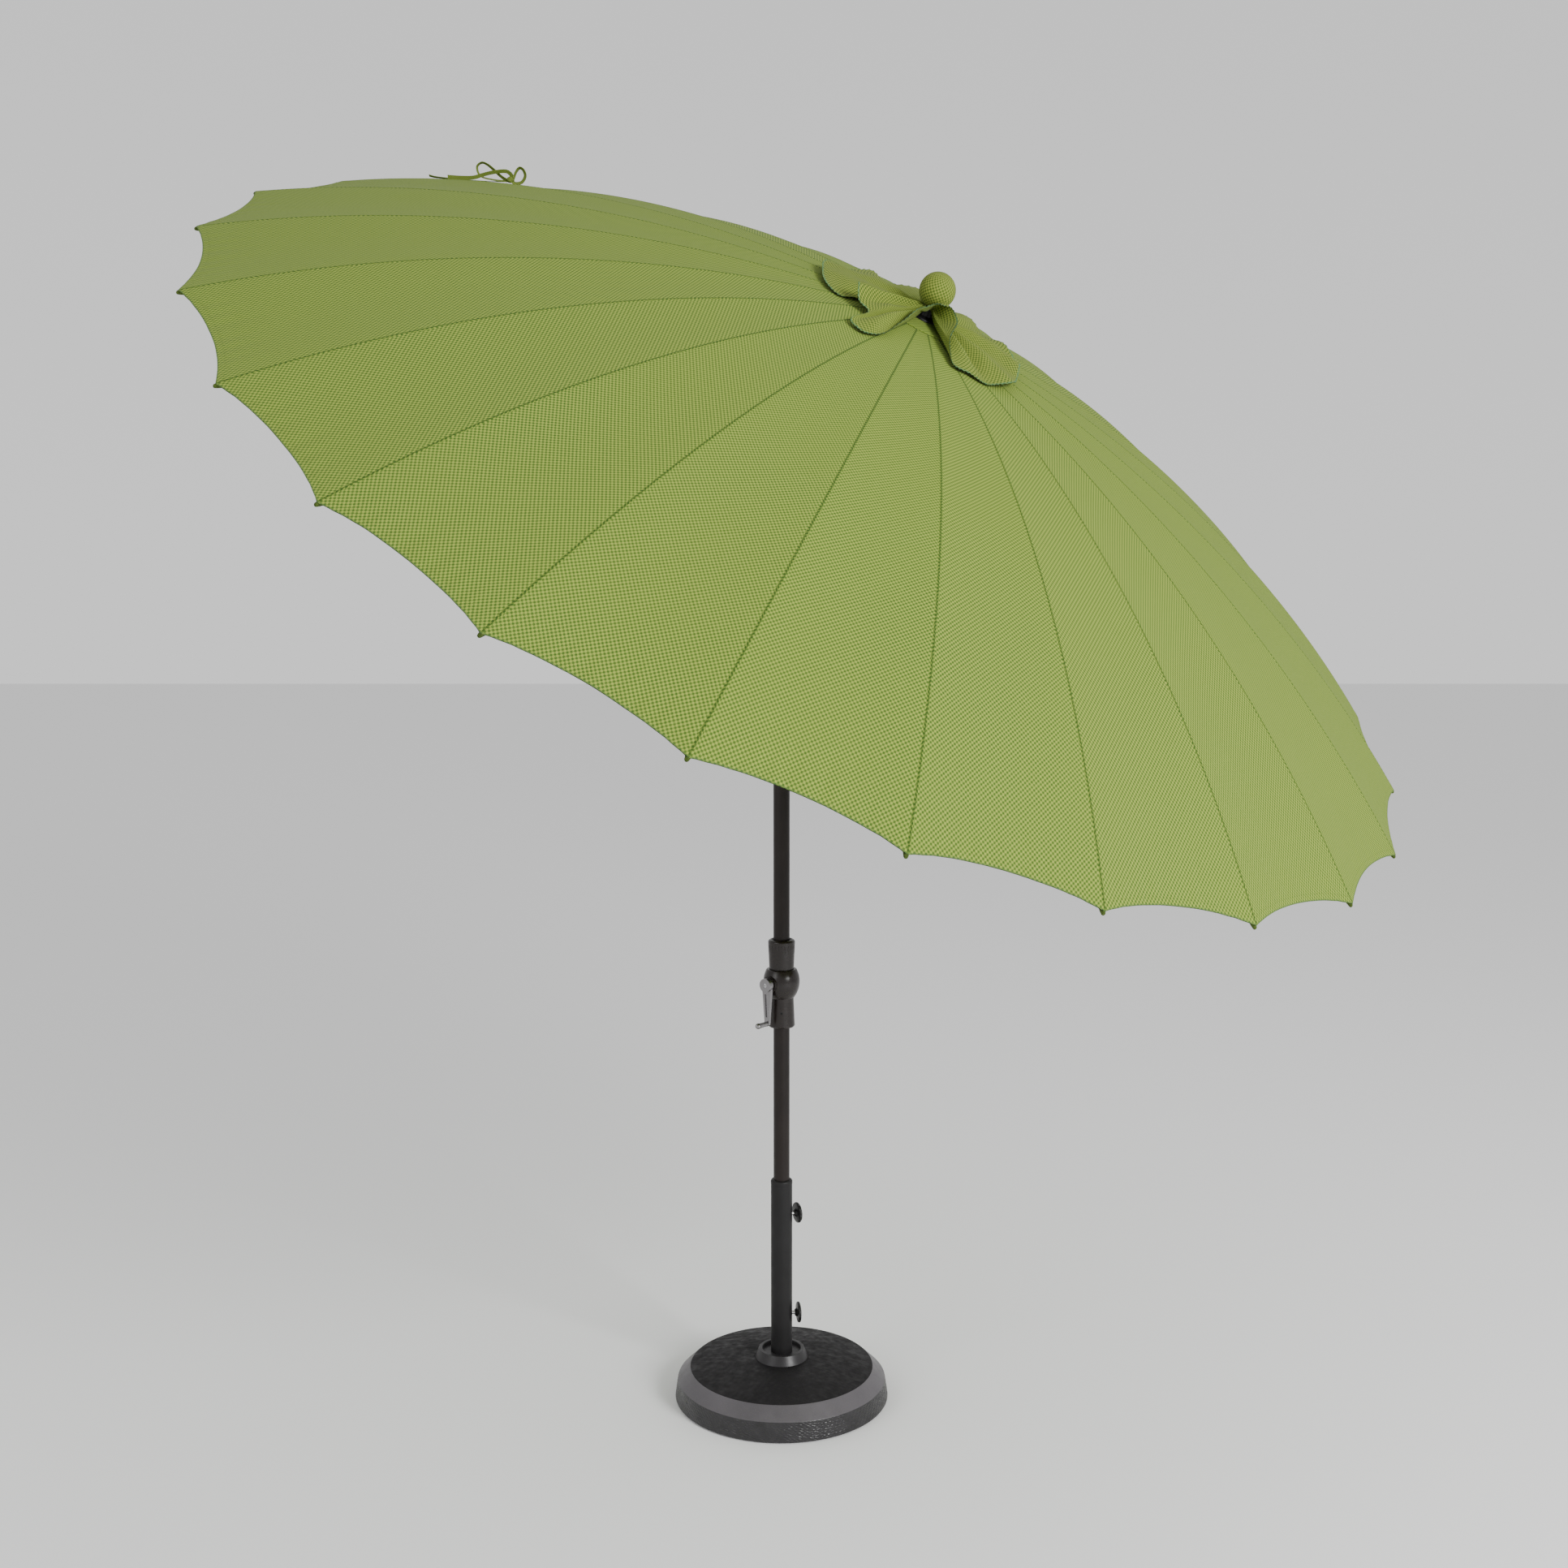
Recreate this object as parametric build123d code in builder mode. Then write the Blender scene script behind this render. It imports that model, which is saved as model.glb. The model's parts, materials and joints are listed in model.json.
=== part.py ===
"""Patio umbrella on a weighted base: crank lift, collar tilt, 24 ribs, shown open and tilted.

Millimetres, +Z up. The origin is the centre of the base's underside.
The base, stem and pole stand on the Z axis. Everything above the tilt knuckle is drawn in
the frame of the leaning upper mast, whose plane starts at the knuckle's pivot.
"""
from math import asin, cos, degrees, hypot, radians, sin, sqrt
import os

from build123d import *

os.makedirs("parts", exist_ok=True)

# ---- driving dimensions ------------------------------------------------------------------
POLE_R = 19.05
POLE_WALL = 1.6
STEM_R = 25.4
STEM_WALL = 2.0
RUN = 0.05  # radial running clearance of a shaft in its hole
GAP = 0.4  # clearance between faces of pieces that move past each other

# Weighted base
PAD_H = 3.0
PAD_R = 240.0
BASE_R = 255.5
WALL_TOP_R = 248.7
WALL_TOP_Z = 49.3
BEVEL_TOP_R = 218.5
BEVEL_TOP_Z = 77.3
BASE_CROWN_Z = 97.0
SHELL_WALL = 3.0
WEIGHT_R = 238.0
WEIGHT_T = 20.0
SOCKET_Z = 30.0

# Flared ring round the foot of the stem
RING_FOOT_R = 63.5
RING_TOP_R = 54.0
RING_LIP_R = 44.5
RING_TOP_Z = 119.0
RING_FLOOR_Z = 108.0
FLANGE_R = 50.0
FLANGE_T = 4.0
FLANGE_BOLT_R = 38.0

# Stem, its cap and its two clamp knobs
STEM_TOP_Z = 526.0
CAP_TOP_Z = 537.0
CAP_SLEEVE_Z = 494.0
KNOB_HEIGHTS = (448.0, 204.0)
KNOB_AZIMUTHS = (25.0, 10.0)
KNOB_R = 24.5
KNOB_T = 9.0
KNOB_FACE = 38.0
STUD_R = 4.0

# Lower and middle pole
POLE_BOTTOM_Z = SOCKET_Z + 0.3
SLEEVE_BOTTOM_Z = 909.0
CASE_BOTTOM_Z = 979.0
CASE_TOP_Z = 1047.0
COLLAR_TOP_Z = 1117.0
CASE_R = 42.6
SLEEVE_R = 28.8
SLEEVE_FOOT_R = 31.3
COLLAR_FOOT_R = 29.0
COLLAR_TOP_R = 31.7
FLUTE_COUNT = 24

# Crank
CRANK_Z = 1016.0
SHAFT_R = 5.0
SPOOL_R = 12.5
SPOOL_FLANGE_R = 15.5
ARM_LENGTH = 92.0
ARM_FACE = 47.0
ARM_T = 7.0
HUB_R = 16.0
HUB_FACE = 60.0
PEG_LENGTH = 36.0
PEG_R = 6.5

# Tilt knuckle
PIVOT_Z = 1920.0
TILT = 34.1
TILT_AZIMUTH = -40.65
KNUCKLE_R = 17.0
KNUCKLE_REACH = 40.0
TONGUE_T = 16.0
PIN_R = 5.0

# Canopy, measured along the mast from the pivot
APEX = 705.8
TIP_LEVEL = 267.5
TIP_R = 1430.0
DOME_HALF_ARC = 14.2
SCALLOP = 24.0
CLOTH = 2.0
RIB_COUNT = 24
RIB_PHASE = 8.98
VENT_HOLE_R = 13.0

# Ribs, stretchers and runner
ROD_R = 5.0
ROD_SIDES = 16
ROD_DROP = CLOTH + 2.0 + ROD_R
HINGE_R = 55.0
HINGE_LEVEL = 688.0
BLADE_T = 4.0
WIRE_R = 1.5
LUG_R = 620.0
LUG_DROP = 16.0
STRETCHER_R = 4.0
RUNNER_WIRE_R = 42.0
RUNNER_LEVEL = 270.0
RUNNER_R = 52.0
RUNNER_BORE = POLE_R + GAP

# Crown
BALL_LEVEL = 769.2
BALL_R = 38.7
FLOUNCE_R = 215.0

RIB_PITCH = 360 / RIB_COUNT
HALF_PITCH = RIB_PITCH / 2


# ---- frames --------------------------------------------------------------------------------
def level(azimuth):
    """Horizontal unit vector at an azimuth in degrees from +X."""
    return Vector(cos(radians(azimuth)), sin(radians(azimuth)), 0)


UP = Vector(0, 0, 1)
PIVOT = Vector(0, 0, PIVOT_Z)
HINGE = level(TILT_AZIMUTH + 90)
CRANK_OUT = HINGE * -1
turn = Axis((0, 0, 0), HINGE)
mast = Plane(
    origin=PIVOT, x_dir=Vector(1, 0, 0).rotate(turn, TILT), z_dir=UP.rotate(turn, TILT)
)
mast_axis = Axis(mast.origin, mast.z_dir)
pole_side = Plane.XZ
mast_side = Plane(origin=mast.origin, x_dir=mast.x_dir, z_dir=mast.x_dir.cross(mast.z_dir))


def radial_side(angle):
    """Plane through the mast's axis: local x points outwards, local y up the mast."""
    out = mast.x_dir.rotate(Axis((0, 0, 0), mast.z_dir), angle)
    return Plane(origin=mast.origin, x_dir=out, z_dir=out.cross(mast.z_dir))


# Dome line over a rib: one circular arc from the apex to the tip
chord = hypot(TIP_R, APEX - TIP_LEVEL)
chord_slope = degrees(asin((APEX - TIP_LEVEL) / chord))
DOME_R = chord / (2 * sin(radians(DOME_HALF_ARC)))
APEX_SLOPE = chord_slope - DOME_HALF_ARC
DOME_X = -DOME_R * sin(radians(APEX_SLOPE))
DOME_Y = APEX - DOME_R * cos(radians(APEX_SLOPE))


def dome_point(radius, drop=0.0):
    """Point of the dome line at a radius, moved inwards by drop."""
    rise = sqrt((DOME_R - drop) ** 2 - (radius - DOME_X) ** 2)
    return (radius, DOME_Y + rise)


# ---- weighted base ---------------------------------------------------------------------------
with BuildPart() as base_pad:
    Cylinder(PAD_R, PAD_H, align=(Align.CENTER, Align.CENTER, Align.MIN))
base_pad.part.label = "base_pad"
export_step(base_pad.part, "parts/base_pad.step")

crown_arc = (
    (BEVEL_TOP_R, BEVEL_TOP_Z),
    ((BEVEL_TOP_R + FLANGE_R) / 2, (BEVEL_TOP_Z + BASE_CROWN_Z) / 2 + 3),
    (FLANGE_R + 2, BASE_CROWN_Z),
)
with BuildPart() as base_shell:
    with BuildSketch(pole_side):
        with BuildLine():
            Line((FLANGE_R + 2, BASE_CROWN_Z), (FLANGE_R + 2, BASE_CROWN_Z - SHELL_WALL))
            ThreePointArc(
                (FLANGE_R + 2, BASE_CROWN_Z - SHELL_WALL),
                (crown_arc[1][0], crown_arc[1][1] - SHELL_WALL),
                (BEVEL_TOP_R - 1, BEVEL_TOP_Z - SHELL_WALL),
            )
            Polyline(
                (BEVEL_TOP_R - 1, BEVEL_TOP_Z - SHELL_WALL),
                (WALL_TOP_R - SHELL_WALL, WALL_TOP_Z - 2),
                (BASE_R - SHELL_WALL, PAD_H),
                (BASE_R, PAD_H),
                (WALL_TOP_R, WALL_TOP_Z),
                (BEVEL_TOP_R, BEVEL_TOP_Z),
            )
            ThreePointArc(*crown_arc)
        make_face()
    revolve(axis=Axis.Z)
    foot_edge = base_shell.edges().filter_by(GeomType.CIRCLE).sort_by(Axis.Z)[:2]
    fillet(foot_edge.sort_by(SortBy.RADIUS)[-1], 2.0)
    rims = base_shell.edges().filter_by(GeomType.CIRCLE).group_by(Axis.Z)
    fillet(rims[-2].sort_by(SortBy.RADIUS)[-1], 1.2)
base_shell.part.label = "base_shell"
export_step(base_shell.part, "parts/base_shell.step")

flange_z = BASE_CROWN_Z - SHELL_WALL - FLANGE_T
with BuildPart() as base_core:
    with BuildSketch(pole_side):
        with BuildLine():
            Polyline(
                (0, PAD_H),
                (WEIGHT_R, PAD_H),
                (WEIGHT_R, PAD_H + WEIGHT_T),
                (FLANGE_R + 14, PAD_H + WEIGHT_T + 4),
                (FLANGE_R, flange_z),
                (STEM_R + RUN, flange_z),
                (STEM_R + RUN, SOCKET_Z),
                (0, SOCKET_Z),
                close=True,
            )
        make_face()
    revolve(axis=Axis.Z)
    with BuildSketch(Plane.XY.offset(flange_z)):
        with PolarLocations(FLANGE_BOLT_R, 4, start_angle=45):
            Circle(4 + RUN)
    extrude(amount=-35, mode=Mode.SUBTRACT)
base_core.part.label = "base_core"
export_step(base_core.part, "parts/base_core.step")

with BuildPart() as base_stem:
    with BuildSketch(Plane.XY.offset(SOCKET_Z)):
        Circle(STEM_R)
        Circle(STEM_R - STEM_WALL, mode=Mode.SUBTRACT)
    extrude(amount=STEM_TOP_Z - SOCKET_Z)
    with BuildSketch(Plane.XY.offset(flange_z)):
        Circle(FLANGE_R)
        Circle(STEM_R - STEM_WALL, mode=Mode.SUBTRACT)
        with PolarLocations(FLANGE_BOLT_R, 4, start_angle=45):
            Circle(4.5, mode=Mode.SUBTRACT)
    extrude(amount=FLANGE_T)
    for height, azimuth in zip(KNOB_HEIGHTS, KNOB_AZIMUTHS):
        boss = Plane(origin=Vector(0, 0, height) + level(azimuth) * 20.2, z_dir=level(azimuth))
        with BuildSketch(boss):
            RegularPolygon(8, 6)
        extrude(amount=STEM_R - 21)
        with BuildSketch(boss):
            Circle(STUD_R + RUN)
        extrude(amount=STEM_R, both=True, mode=Mode.SUBTRACT)
base_stem.part.label = "base_stem"
export_step(base_stem.part, "parts/base_stem.step")

with BuildPart() as flange_screws:
    with BuildSketch(Plane.XY.offset(flange_z - 30)):
        with PolarLocations(FLANGE_BOLT_R, 4, start_angle=45):
            Circle(4)
    extrude(amount=30 + FLANGE_T)
    with BuildSketch(Plane.XY.offset(flange_z + FLANGE_T)):
        with PolarLocations(FLANGE_BOLT_R, 4, start_angle=45):
            RegularPolygon(7.5, 6)
    extrude(amount=5)
flange_screws.part.label = "flange_screws"
export_step(flange_screws.part, "parts/flange_screws.step")

with BuildPart() as stem_collar:
    with BuildSketch(pole_side):
        with BuildLine():
            Polyline(
                (FLANGE_R + 6, BASE_CROWN_Z + 0.3),
                (RING_FOOT_R, BASE_CROWN_Z + 0.3),
                (RING_TOP_R, RING_TOP_Z),
                (RING_LIP_R + 2, RING_TOP_Z),
                (RING_LIP_R, RING_FLOOR_Z + 3),
                (STEM_R + 0.3, RING_FLOOR_Z + 3),
                (STEM_R + 0.3, RING_FLOOR_Z),
                (RING_LIP_R + 3, RING_FLOOR_Z),
                close=True,
            )
        make_face()
    revolve(axis=Axis.Z)
    top_rim = stem_collar.edges().filter_by(GeomType.CIRCLE).group_by(Axis.Z)[-1]
    fillet(top_rim, 1.5)
stem_collar.part.label = "stem_collar"
export_step(stem_collar.part, "parts/stem_collar.step")

with BuildPart() as stem_bushing:
    with BuildSketch(pole_side):
        with BuildLine():
            Polyline(
                (POLE_R + RUN, CAP_SLEEVE_Z),
                (STEM_R - STEM_WALL - RUN, CAP_SLEEVE_Z),
                (STEM_R - STEM_WALL - RUN, STEM_TOP_Z + GAP),
                (STEM_R + 0.4, STEM_TOP_Z + GAP),
                (STEM_R + 0.4, CAP_TOP_Z),
                (POLE_R + RUN, CAP_TOP_Z),
                close=True,
            )
        make_face()
    revolve(axis=Axis.Z)
    cap_rim = stem_bushing.edges().filter_by(GeomType.CIRCLE).group_by(Axis.Z)[-1]
    fillet(cap_rim.sort_by(SortBy.RADIUS)[-1], 5.0)
stem_bushing.part.label = "stem_bushing"
export_step(stem_bushing.part, "parts/stem_bushing.step")

# ---- clamp knobs: a round moulded head on a zinc-plated threaded stud --------------------------
for place, height, azimuth in zip(("upper", "lower"), KNOB_HEIGHTS, KNOB_AZIMUTHS):
    out = level(azimuth)
    knob_side = Plane(origin=(0, 0, height), x_dir=out, z_dir=out.cross(UP))
    screw_axis = Axis((0, 0, height), out)
    with BuildPart() as stud:
        with BuildSketch(knob_side):
            with BuildLine():
                Polyline(
                    (POLE_R + GAP, 0),
                    (POLE_R + GAP, STUD_R - 1),
                    (POLE_R + GAP + 1, STUD_R),
                    (KNOB_FACE + 2, STUD_R),
                    (KNOB_FACE + 2, 0),
                    close=True,
                )
            make_face()
        revolve(axis=screw_axis)
    stud.part.label = f"knob_{place}_stud"
    export_step(stud.part, f"parts/knob_{place}_stud.step")
    with BuildPart() as head:
        with BuildSketch(knob_side):
            with BuildLine():
                Polyline(
                    (KNOB_FACE + 2, 0),
                    (KNOB_FACE + 2, STUD_R),
                    (KNOB_FACE - 6, STUD_R),
                    (KNOB_FACE - 6, STUD_R + 3),
                    (KNOB_FACE - 1, STUD_R + 7),
                    (KNOB_FACE, KNOB_R - 3),
                )
                ThreePointArc(
                    (KNOB_FACE, KNOB_R - 3),
                    (KNOB_FACE + KNOB_T / 2 - 1, KNOB_R),
                    (KNOB_FACE + KNOB_T - 2, KNOB_R - 3),
                )
                Polyline(
                    (KNOB_FACE + KNOB_T - 2, KNOB_R - 3),
                    (KNOB_FACE + KNOB_T, KNOB_R / 2),
                    (KNOB_FACE + KNOB_T, 0),
                    (KNOB_FACE + 2, 0),
                )
            make_face()
        revolve(axis=screw_axis)
        with BuildSketch(Plane(origin=Vector(0, 0, height) + out * KNOB_FACE, z_dir=out)):
            with PolarLocations(KNOB_R + 1.2, 12):
                Circle(2.4)
        extrude(amount=KNOB_T + 2, both=True, mode=Mode.SUBTRACT)
    head.part.label = f"knob_{place}_head"
    export_step(head.part, f"parts/knob_{place}_head.step")


# ---- lower pole, crank housing and middle pole -------------------------------------------------
LOWER_POLE_TOP = CRANK_Z - SPOOL_FLANGE_R - 3
MID_POLE_BOTTOM = CRANK_Z + SPOOL_FLANGE_R + 3
with BuildPart() as lower_pole:
    with BuildSketch(Plane.XY.offset(POLE_BOTTOM_Z)):
        Circle(POLE_R)
        Circle(POLE_R - POLE_WALL, mode=Mode.SUBTRACT)
    extrude(amount=LOWER_POLE_TOP - POLE_BOTTOM_Z)
lower_pole.part.label = "lower_pole"
export_step(lower_pole.part, "parts/lower_pole.step")

MID_POLE_TOP = PIVOT_Z - KNUCKLE_REACH
KEY_Z = CASE_TOP_Z + 22
KEY_R = 3.0
with BuildPart() as mid_pole:
    with BuildSketch(Plane.XY.offset(MID_POLE_BOTTOM)):
        Circle(POLE_R)
        Circle(POLE_R - POLE_WALL, mode=Mode.SUBTRACT)
    extrude(amount=MID_POLE_TOP - MID_POLE_BOTTOM)
    # window that lets the collar's key swing through its travel
    with BuildSketch(Plane.XY.offset(KEY_Z - KEY_R - 1)):
        with BuildLine():
            Polyline((0, 0), (30, 12), (30, -30), (-30, -30), (-30, -10), close=True)
        make_face()
    extrude(amount=2 * KEY_R + 2, mode=Mode.SUBTRACT)
mid_pole.part.label = "mid_pole"
export_step(mid_pole.part, "parts/mid_pole.step")

with BuildPart() as lower_sleeve:
    with BuildSketch(pole_side):
        with BuildLine():
            Polyline(
                (POLE_R + 0.1, SLEEVE_BOTTOM_Z),
                (SLEEVE_FOOT_R - 2, SLEEVE_BOTTOM_Z),
                (SLEEVE_FOOT_R, SLEEVE_BOTTOM_Z + 3),
                (SLEEVE_R, CASE_BOTTOM_Z - 8),
                (SLEEVE_R, CASE_BOTTOM_Z),
                (POLE_R + 0.1, CASE_BOTTOM_Z),
                close=True,
            )
        make_face()
    revolve(axis=Axis.Z)
    with BuildSketch(Plane(origin=(0, 0, SLEEVE_BOTTOM_Z + 37), x_dir=(1, 0, 0), z_dir=(0, -1, 0))):
        Circle(3.0)
    extrude(amount=SLEEVE_FOOT_R + 2, mode=Mode.SUBTRACT)
lower_sleeve.part.label = "lower_sleeve"
export_step(lower_sleeve.part, "parts/lower_sleeve.step")

CRANK_BOSS = Plane(origin=Vector(0, 0, CRANK_Z), x_dir=UP.cross(CRANK_OUT), z_dir=CRANK_OUT)
BOSS_FACE = ARM_FACE - 2
with BuildPart() as crank_case:
    with BuildSketch(pole_side):
        with BuildLine():
            Line((POLE_R + 0.1, CASE_BOTTOM_Z), (SLEEVE_R + 1, CASE_BOTTOM_Z))
            ThreePointArc(
                (SLEEVE_R + 1, CASE_BOTTOM_Z),
                (CASE_R, CRANK_Z - 3),
                (CASE_R - 6, CASE_TOP_Z - 3),
            )
            ThreePointArc(
                (CASE_R - 6, CASE_TOP_Z - 3),
                (CASE_R - 7.5, CASE_TOP_Z - 0.8),
                (CASE_R - 10, CASE_TOP_Z),
            )
            Line((CASE_R - 10, CASE_TOP_Z), (POLE_R + 0.1, CASE_TOP_Z))
            Line((POLE_R + 0.1, CASE_TOP_Z), (POLE_R + 0.1, CASE_BOTTOM_Z))
        make_face()
    revolve(axis=Axis.Z)
    # round boss behind the crank, the spool chamber and the two bearings of the spool's shaft
    with BuildSketch(CRANK_BOSS.offset(28)):
        Circle(19)
    extrude(amount=BOSS_FACE - 28)
    with BuildSketch(Plane.XY.offset(LOWER_POLE_TOP)):
        Circle(POLE_R + 0.1)
    extrude(amount=MID_POLE_BOTTOM - LOWER_POLE_TOP, mode=Mode.SUBTRACT)
    with BuildSketch(CRANK_BOSS):
        Circle(SHAFT_R + RUN)
    extrude(amount=BOSS_FACE + 1, mode=Mode.SUBTRACT)
    with BuildSketch(CRANK_BOSS):
        Circle(SHAFT_R + RUN)
    extrude(amount=-30, mode=Mode.SUBTRACT)
crank_case.part.label = "crank_case"
export_step(crank_case.part, "parts/crank_case.step")

with BuildPart() as housing_screw:
    screw_seat = Vector(0, -POLE_R - 0.3, SLEEVE_BOTTOM_Z + 37)
    with BuildSketch(Plane(origin=screw_seat, x_dir=(1, 0, 0), z_dir=(0, -1, 0))):
        Circle(2.9)
    extrude(amount=9)
    with BuildSketch(Plane(origin=screw_seat + Vector(0, -9, 0), x_dir=(1, 0, 0), z_dir=(0, -1, 0))):
        RegularPolygon(1.6, 6)
    extrude(amount=-3, mode=Mode.SUBTRACT)
housing_screw.part.label = "housing_screw"
export_step(housing_screw.part, "parts/housing_screw.step")

# ---- crank: spool and shaft, arm, centre screw and spinning peg ---------------------------------
with BuildPart() as crank_spool:
    with BuildSketch(CRANK_BOSS.offset(-28)):
        Circle(SHAFT_R)
    extrude(amount=28 + ARM_FACE + 5)
    with BuildSketch(CRANK_BOSS.offset(-9)):
        Circle(SPOOL_R - 3)
    extrude(amount=18)
    for side in (-11, 9):
        with BuildSketch(CRANK_BOSS.offset(side)):
            Circle(SPOOL_FLANGE_R - 1)
        extrude(amount=2)
crank_spool.part.label = "crank_spool"
export_step(crank_spool.part, "parts/crank_spool.step")

ARM_BACK = CRANK_BOSS.offset(ARM_FACE)
with BuildPart() as crank_arm:
    with BuildSketch(ARM_BACK):
        with BuildLine():
            CenterArc((0, 0), HUB_R - 2, 0, 180)
            Line((HUB_R - 2, 0), (6.2, -ARM_LENGTH))
            ThreePointArc((6.2, -ARM_LENGTH), (0, -ARM_LENGTH - 6.2), (-6.2, -ARM_LENGTH))
            Line((-6.2, -ARM_LENGTH), (-HUB_R + 2, 0))
        make_face()
    extrude(amount=ARM_T)
    with BuildSketch(ARM_BACK):
        Circle(HUB_R)
    extrude(amount=HUB_FACE - ARM_FACE)
    # long recess down the arm's outer face
    with BuildSketch(ARM_BACK.offset(ARM_T - 2.5)):
        with BuildLine():
            Polyline((-5.5, -22), (5.5, -22), (2.2, -76), (-2.2, -76), close=True)
        make_face()
    extrude(amount=6, mode=Mode.SUBTRACT)
    with BuildSketch(ARM_BACK.offset(-1)):
        Circle(SHAFT_R)
    extrude(amount=6, mode=Mode.SUBTRACT)
    with BuildSketch(ARM_BACK.offset(4)):
        Circle(2.6)
    extrude(amount=HUB_FACE, mode=Mode.SUBTRACT)
    with BuildSketch(CRANK_BOSS.offset(HUB_FACE - 3)):
        Circle(5)
    extrude(amount=5, mode=Mode.SUBTRACT)
    # pin that the peg spins on
    with BuildSketch(ARM_BACK.offset(ARM_T - 1)):
        with Locations((0, -ARM_LENGTH)):
            Circle(3)
    extrude(amount=PEG_LENGTH - 4)
crank_arm.part.label = "crank_arm"
export_step(crank_arm.part, "parts/crank_arm.step")

with BuildPart() as crank_screw:
    with BuildSketch(ARM_BACK.offset(5.2)):
        Circle(2.5)
    extrude(amount=HUB_FACE - ARM_FACE - 5.2 - 3)
    with BuildSketch(CRANK_BOSS.offset(HUB_FACE - 3)):
        Circle(4.7)
        RegularPolygon(2.2, 6, mode=Mode.SUBTRACT)
    extrude(amount=2.4)
    with BuildSketch(CRANK_BOSS.offset(HUB_FACE - 3)):
        Circle(4.7)
    extrude(amount=0.8)
crank_screw.part.label = "crank_screw"
export_step(crank_screw.part, "parts/crank_screw.step")

PEG_START = ARM_FACE + ARM_T + GAP
peg_low = Vector(0, 0, CRANK_Z - ARM_LENGTH)
peg_side = Plane(origin=peg_low, x_dir=CRANK_OUT, z_dir=CRANK_OUT.cross(UP))
with BuildPart() as crank_peg:
    with BuildSketch(peg_side):
        with BuildLine():
            Polyline(
                (PEG_START + PEG_LENGTH, 0),
                (PEG_START + PEG_LENGTH - 4, 0),
                (PEG_START + PEG_LENGTH - 4, 3 + RUN),
                (PEG_START, 3 + RUN),
                (PEG_START, PEG_R - 1),
                (PEG_START + 12, PEG_R - 0.8),
                (PEG_START + PEG_LENGTH - 10, PEG_R),
            )
            ThreePointArc(
                (PEG_START + PEG_LENGTH - 10, PEG_R),
                (PEG_START + PEG_LENGTH - 2.4, PEG_R - 1.2),
                (PEG_START + PEG_LENGTH, 2),
            )
            Line((PEG_START + PEG_LENGTH, 2), (PEG_START + PEG_LENGTH, 0))
        make_face()
    revolve(axis=Axis(peg_low, CRANK_OUT))
crank_peg.part.label = "crank_peg"
export_step(crank_peg.part, "parts/crank_peg.step")

# ---- tilt collar and the tube that it turns inside the middle pole ------------------------------
DRIVE_R = POLE_R - POLE_WALL - 2.5
DRIVE_WALL = 2.0
KEY_REACH = 24.0
DRIVE_BOTTOM_Z = CASE_TOP_Z + 6
with BuildPart() as tilt_collar:
    with BuildSketch(pole_side):
        with BuildLine():
            Polyline(
                (POLE_R + GAP, CASE_TOP_Z + GAP),
                (COLLAR_FOOT_R, CASE_TOP_Z + GAP),
                (COLLAR_TOP_R, COLLAR_TOP_Z - 7),
            )
            ThreePointArc(
                (COLLAR_TOP_R, COLLAR_TOP_Z - 7),
                (COLLAR_TOP_R - 1.8, COLLAR_TOP_Z - 1.8),
                (COLLAR_TOP_R - 6.5, COLLAR_TOP_Z),
            )
            Polyline(
                (COLLAR_TOP_R - 6.5, COLLAR_TOP_Z),
                (POLE_R + 3, COLLAR_TOP_Z - 4),
                (POLE_R + GAP, COLLAR_TOP_Z - 4),
                (POLE_R + GAP, CASE_TOP_Z + GAP),
            )
        make_face()
    revolve(axis=Axis.Z)
    with BuildSketch(Plane.XY.offset(CASE_TOP_Z + 6)):
        with PolarLocations(COLLAR_TOP_R + 0.7, FLUTE_COUNT):
            Circle(1.9)
    extrude(amount=52, mode=Mode.SUBTRACT)
    with BuildSketch(Plane(origin=(0, 0, KEY_Z), z_dir=level(0))):
        Circle(KEY_R + RUN)
    extrude(amount=KEY_REACH + 0.5, mode=Mode.SUBTRACT)
tilt_collar.part.label = "tilt_collar"
export_step(tilt_collar.part, "parts/tilt_collar.step")

with BuildPart() as tilt_drive_tube:
    with BuildSketch(Plane.XY.offset(DRIVE_BOTTOM_Z)):
        Circle(DRIVE_R)
        Circle(DRIVE_R - DRIVE_WALL, mode=Mode.SUBTRACT)
    extrude(amount=MID_POLE_TOP - 24 - DRIVE_BOTTOM_Z)
    with BuildSketch(Plane(origin=(0, 0, KEY_Z), z_dir=level(0))):
        Circle(KEY_R)
    extrude(amount=KEY_REACH)
    with BuildSketch(Plane.XY.offset(DRIVE_BOTTOM_Z)):
        Circle(DRIVE_R - DRIVE_WALL)
    extrude(amount=60, mode=Mode.SUBTRACT)
tilt_drive_tube.part.label = "tilt_drive_tube"
export_step(tilt_drive_tube.part, "parts/tilt_drive_tube.step")

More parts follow.
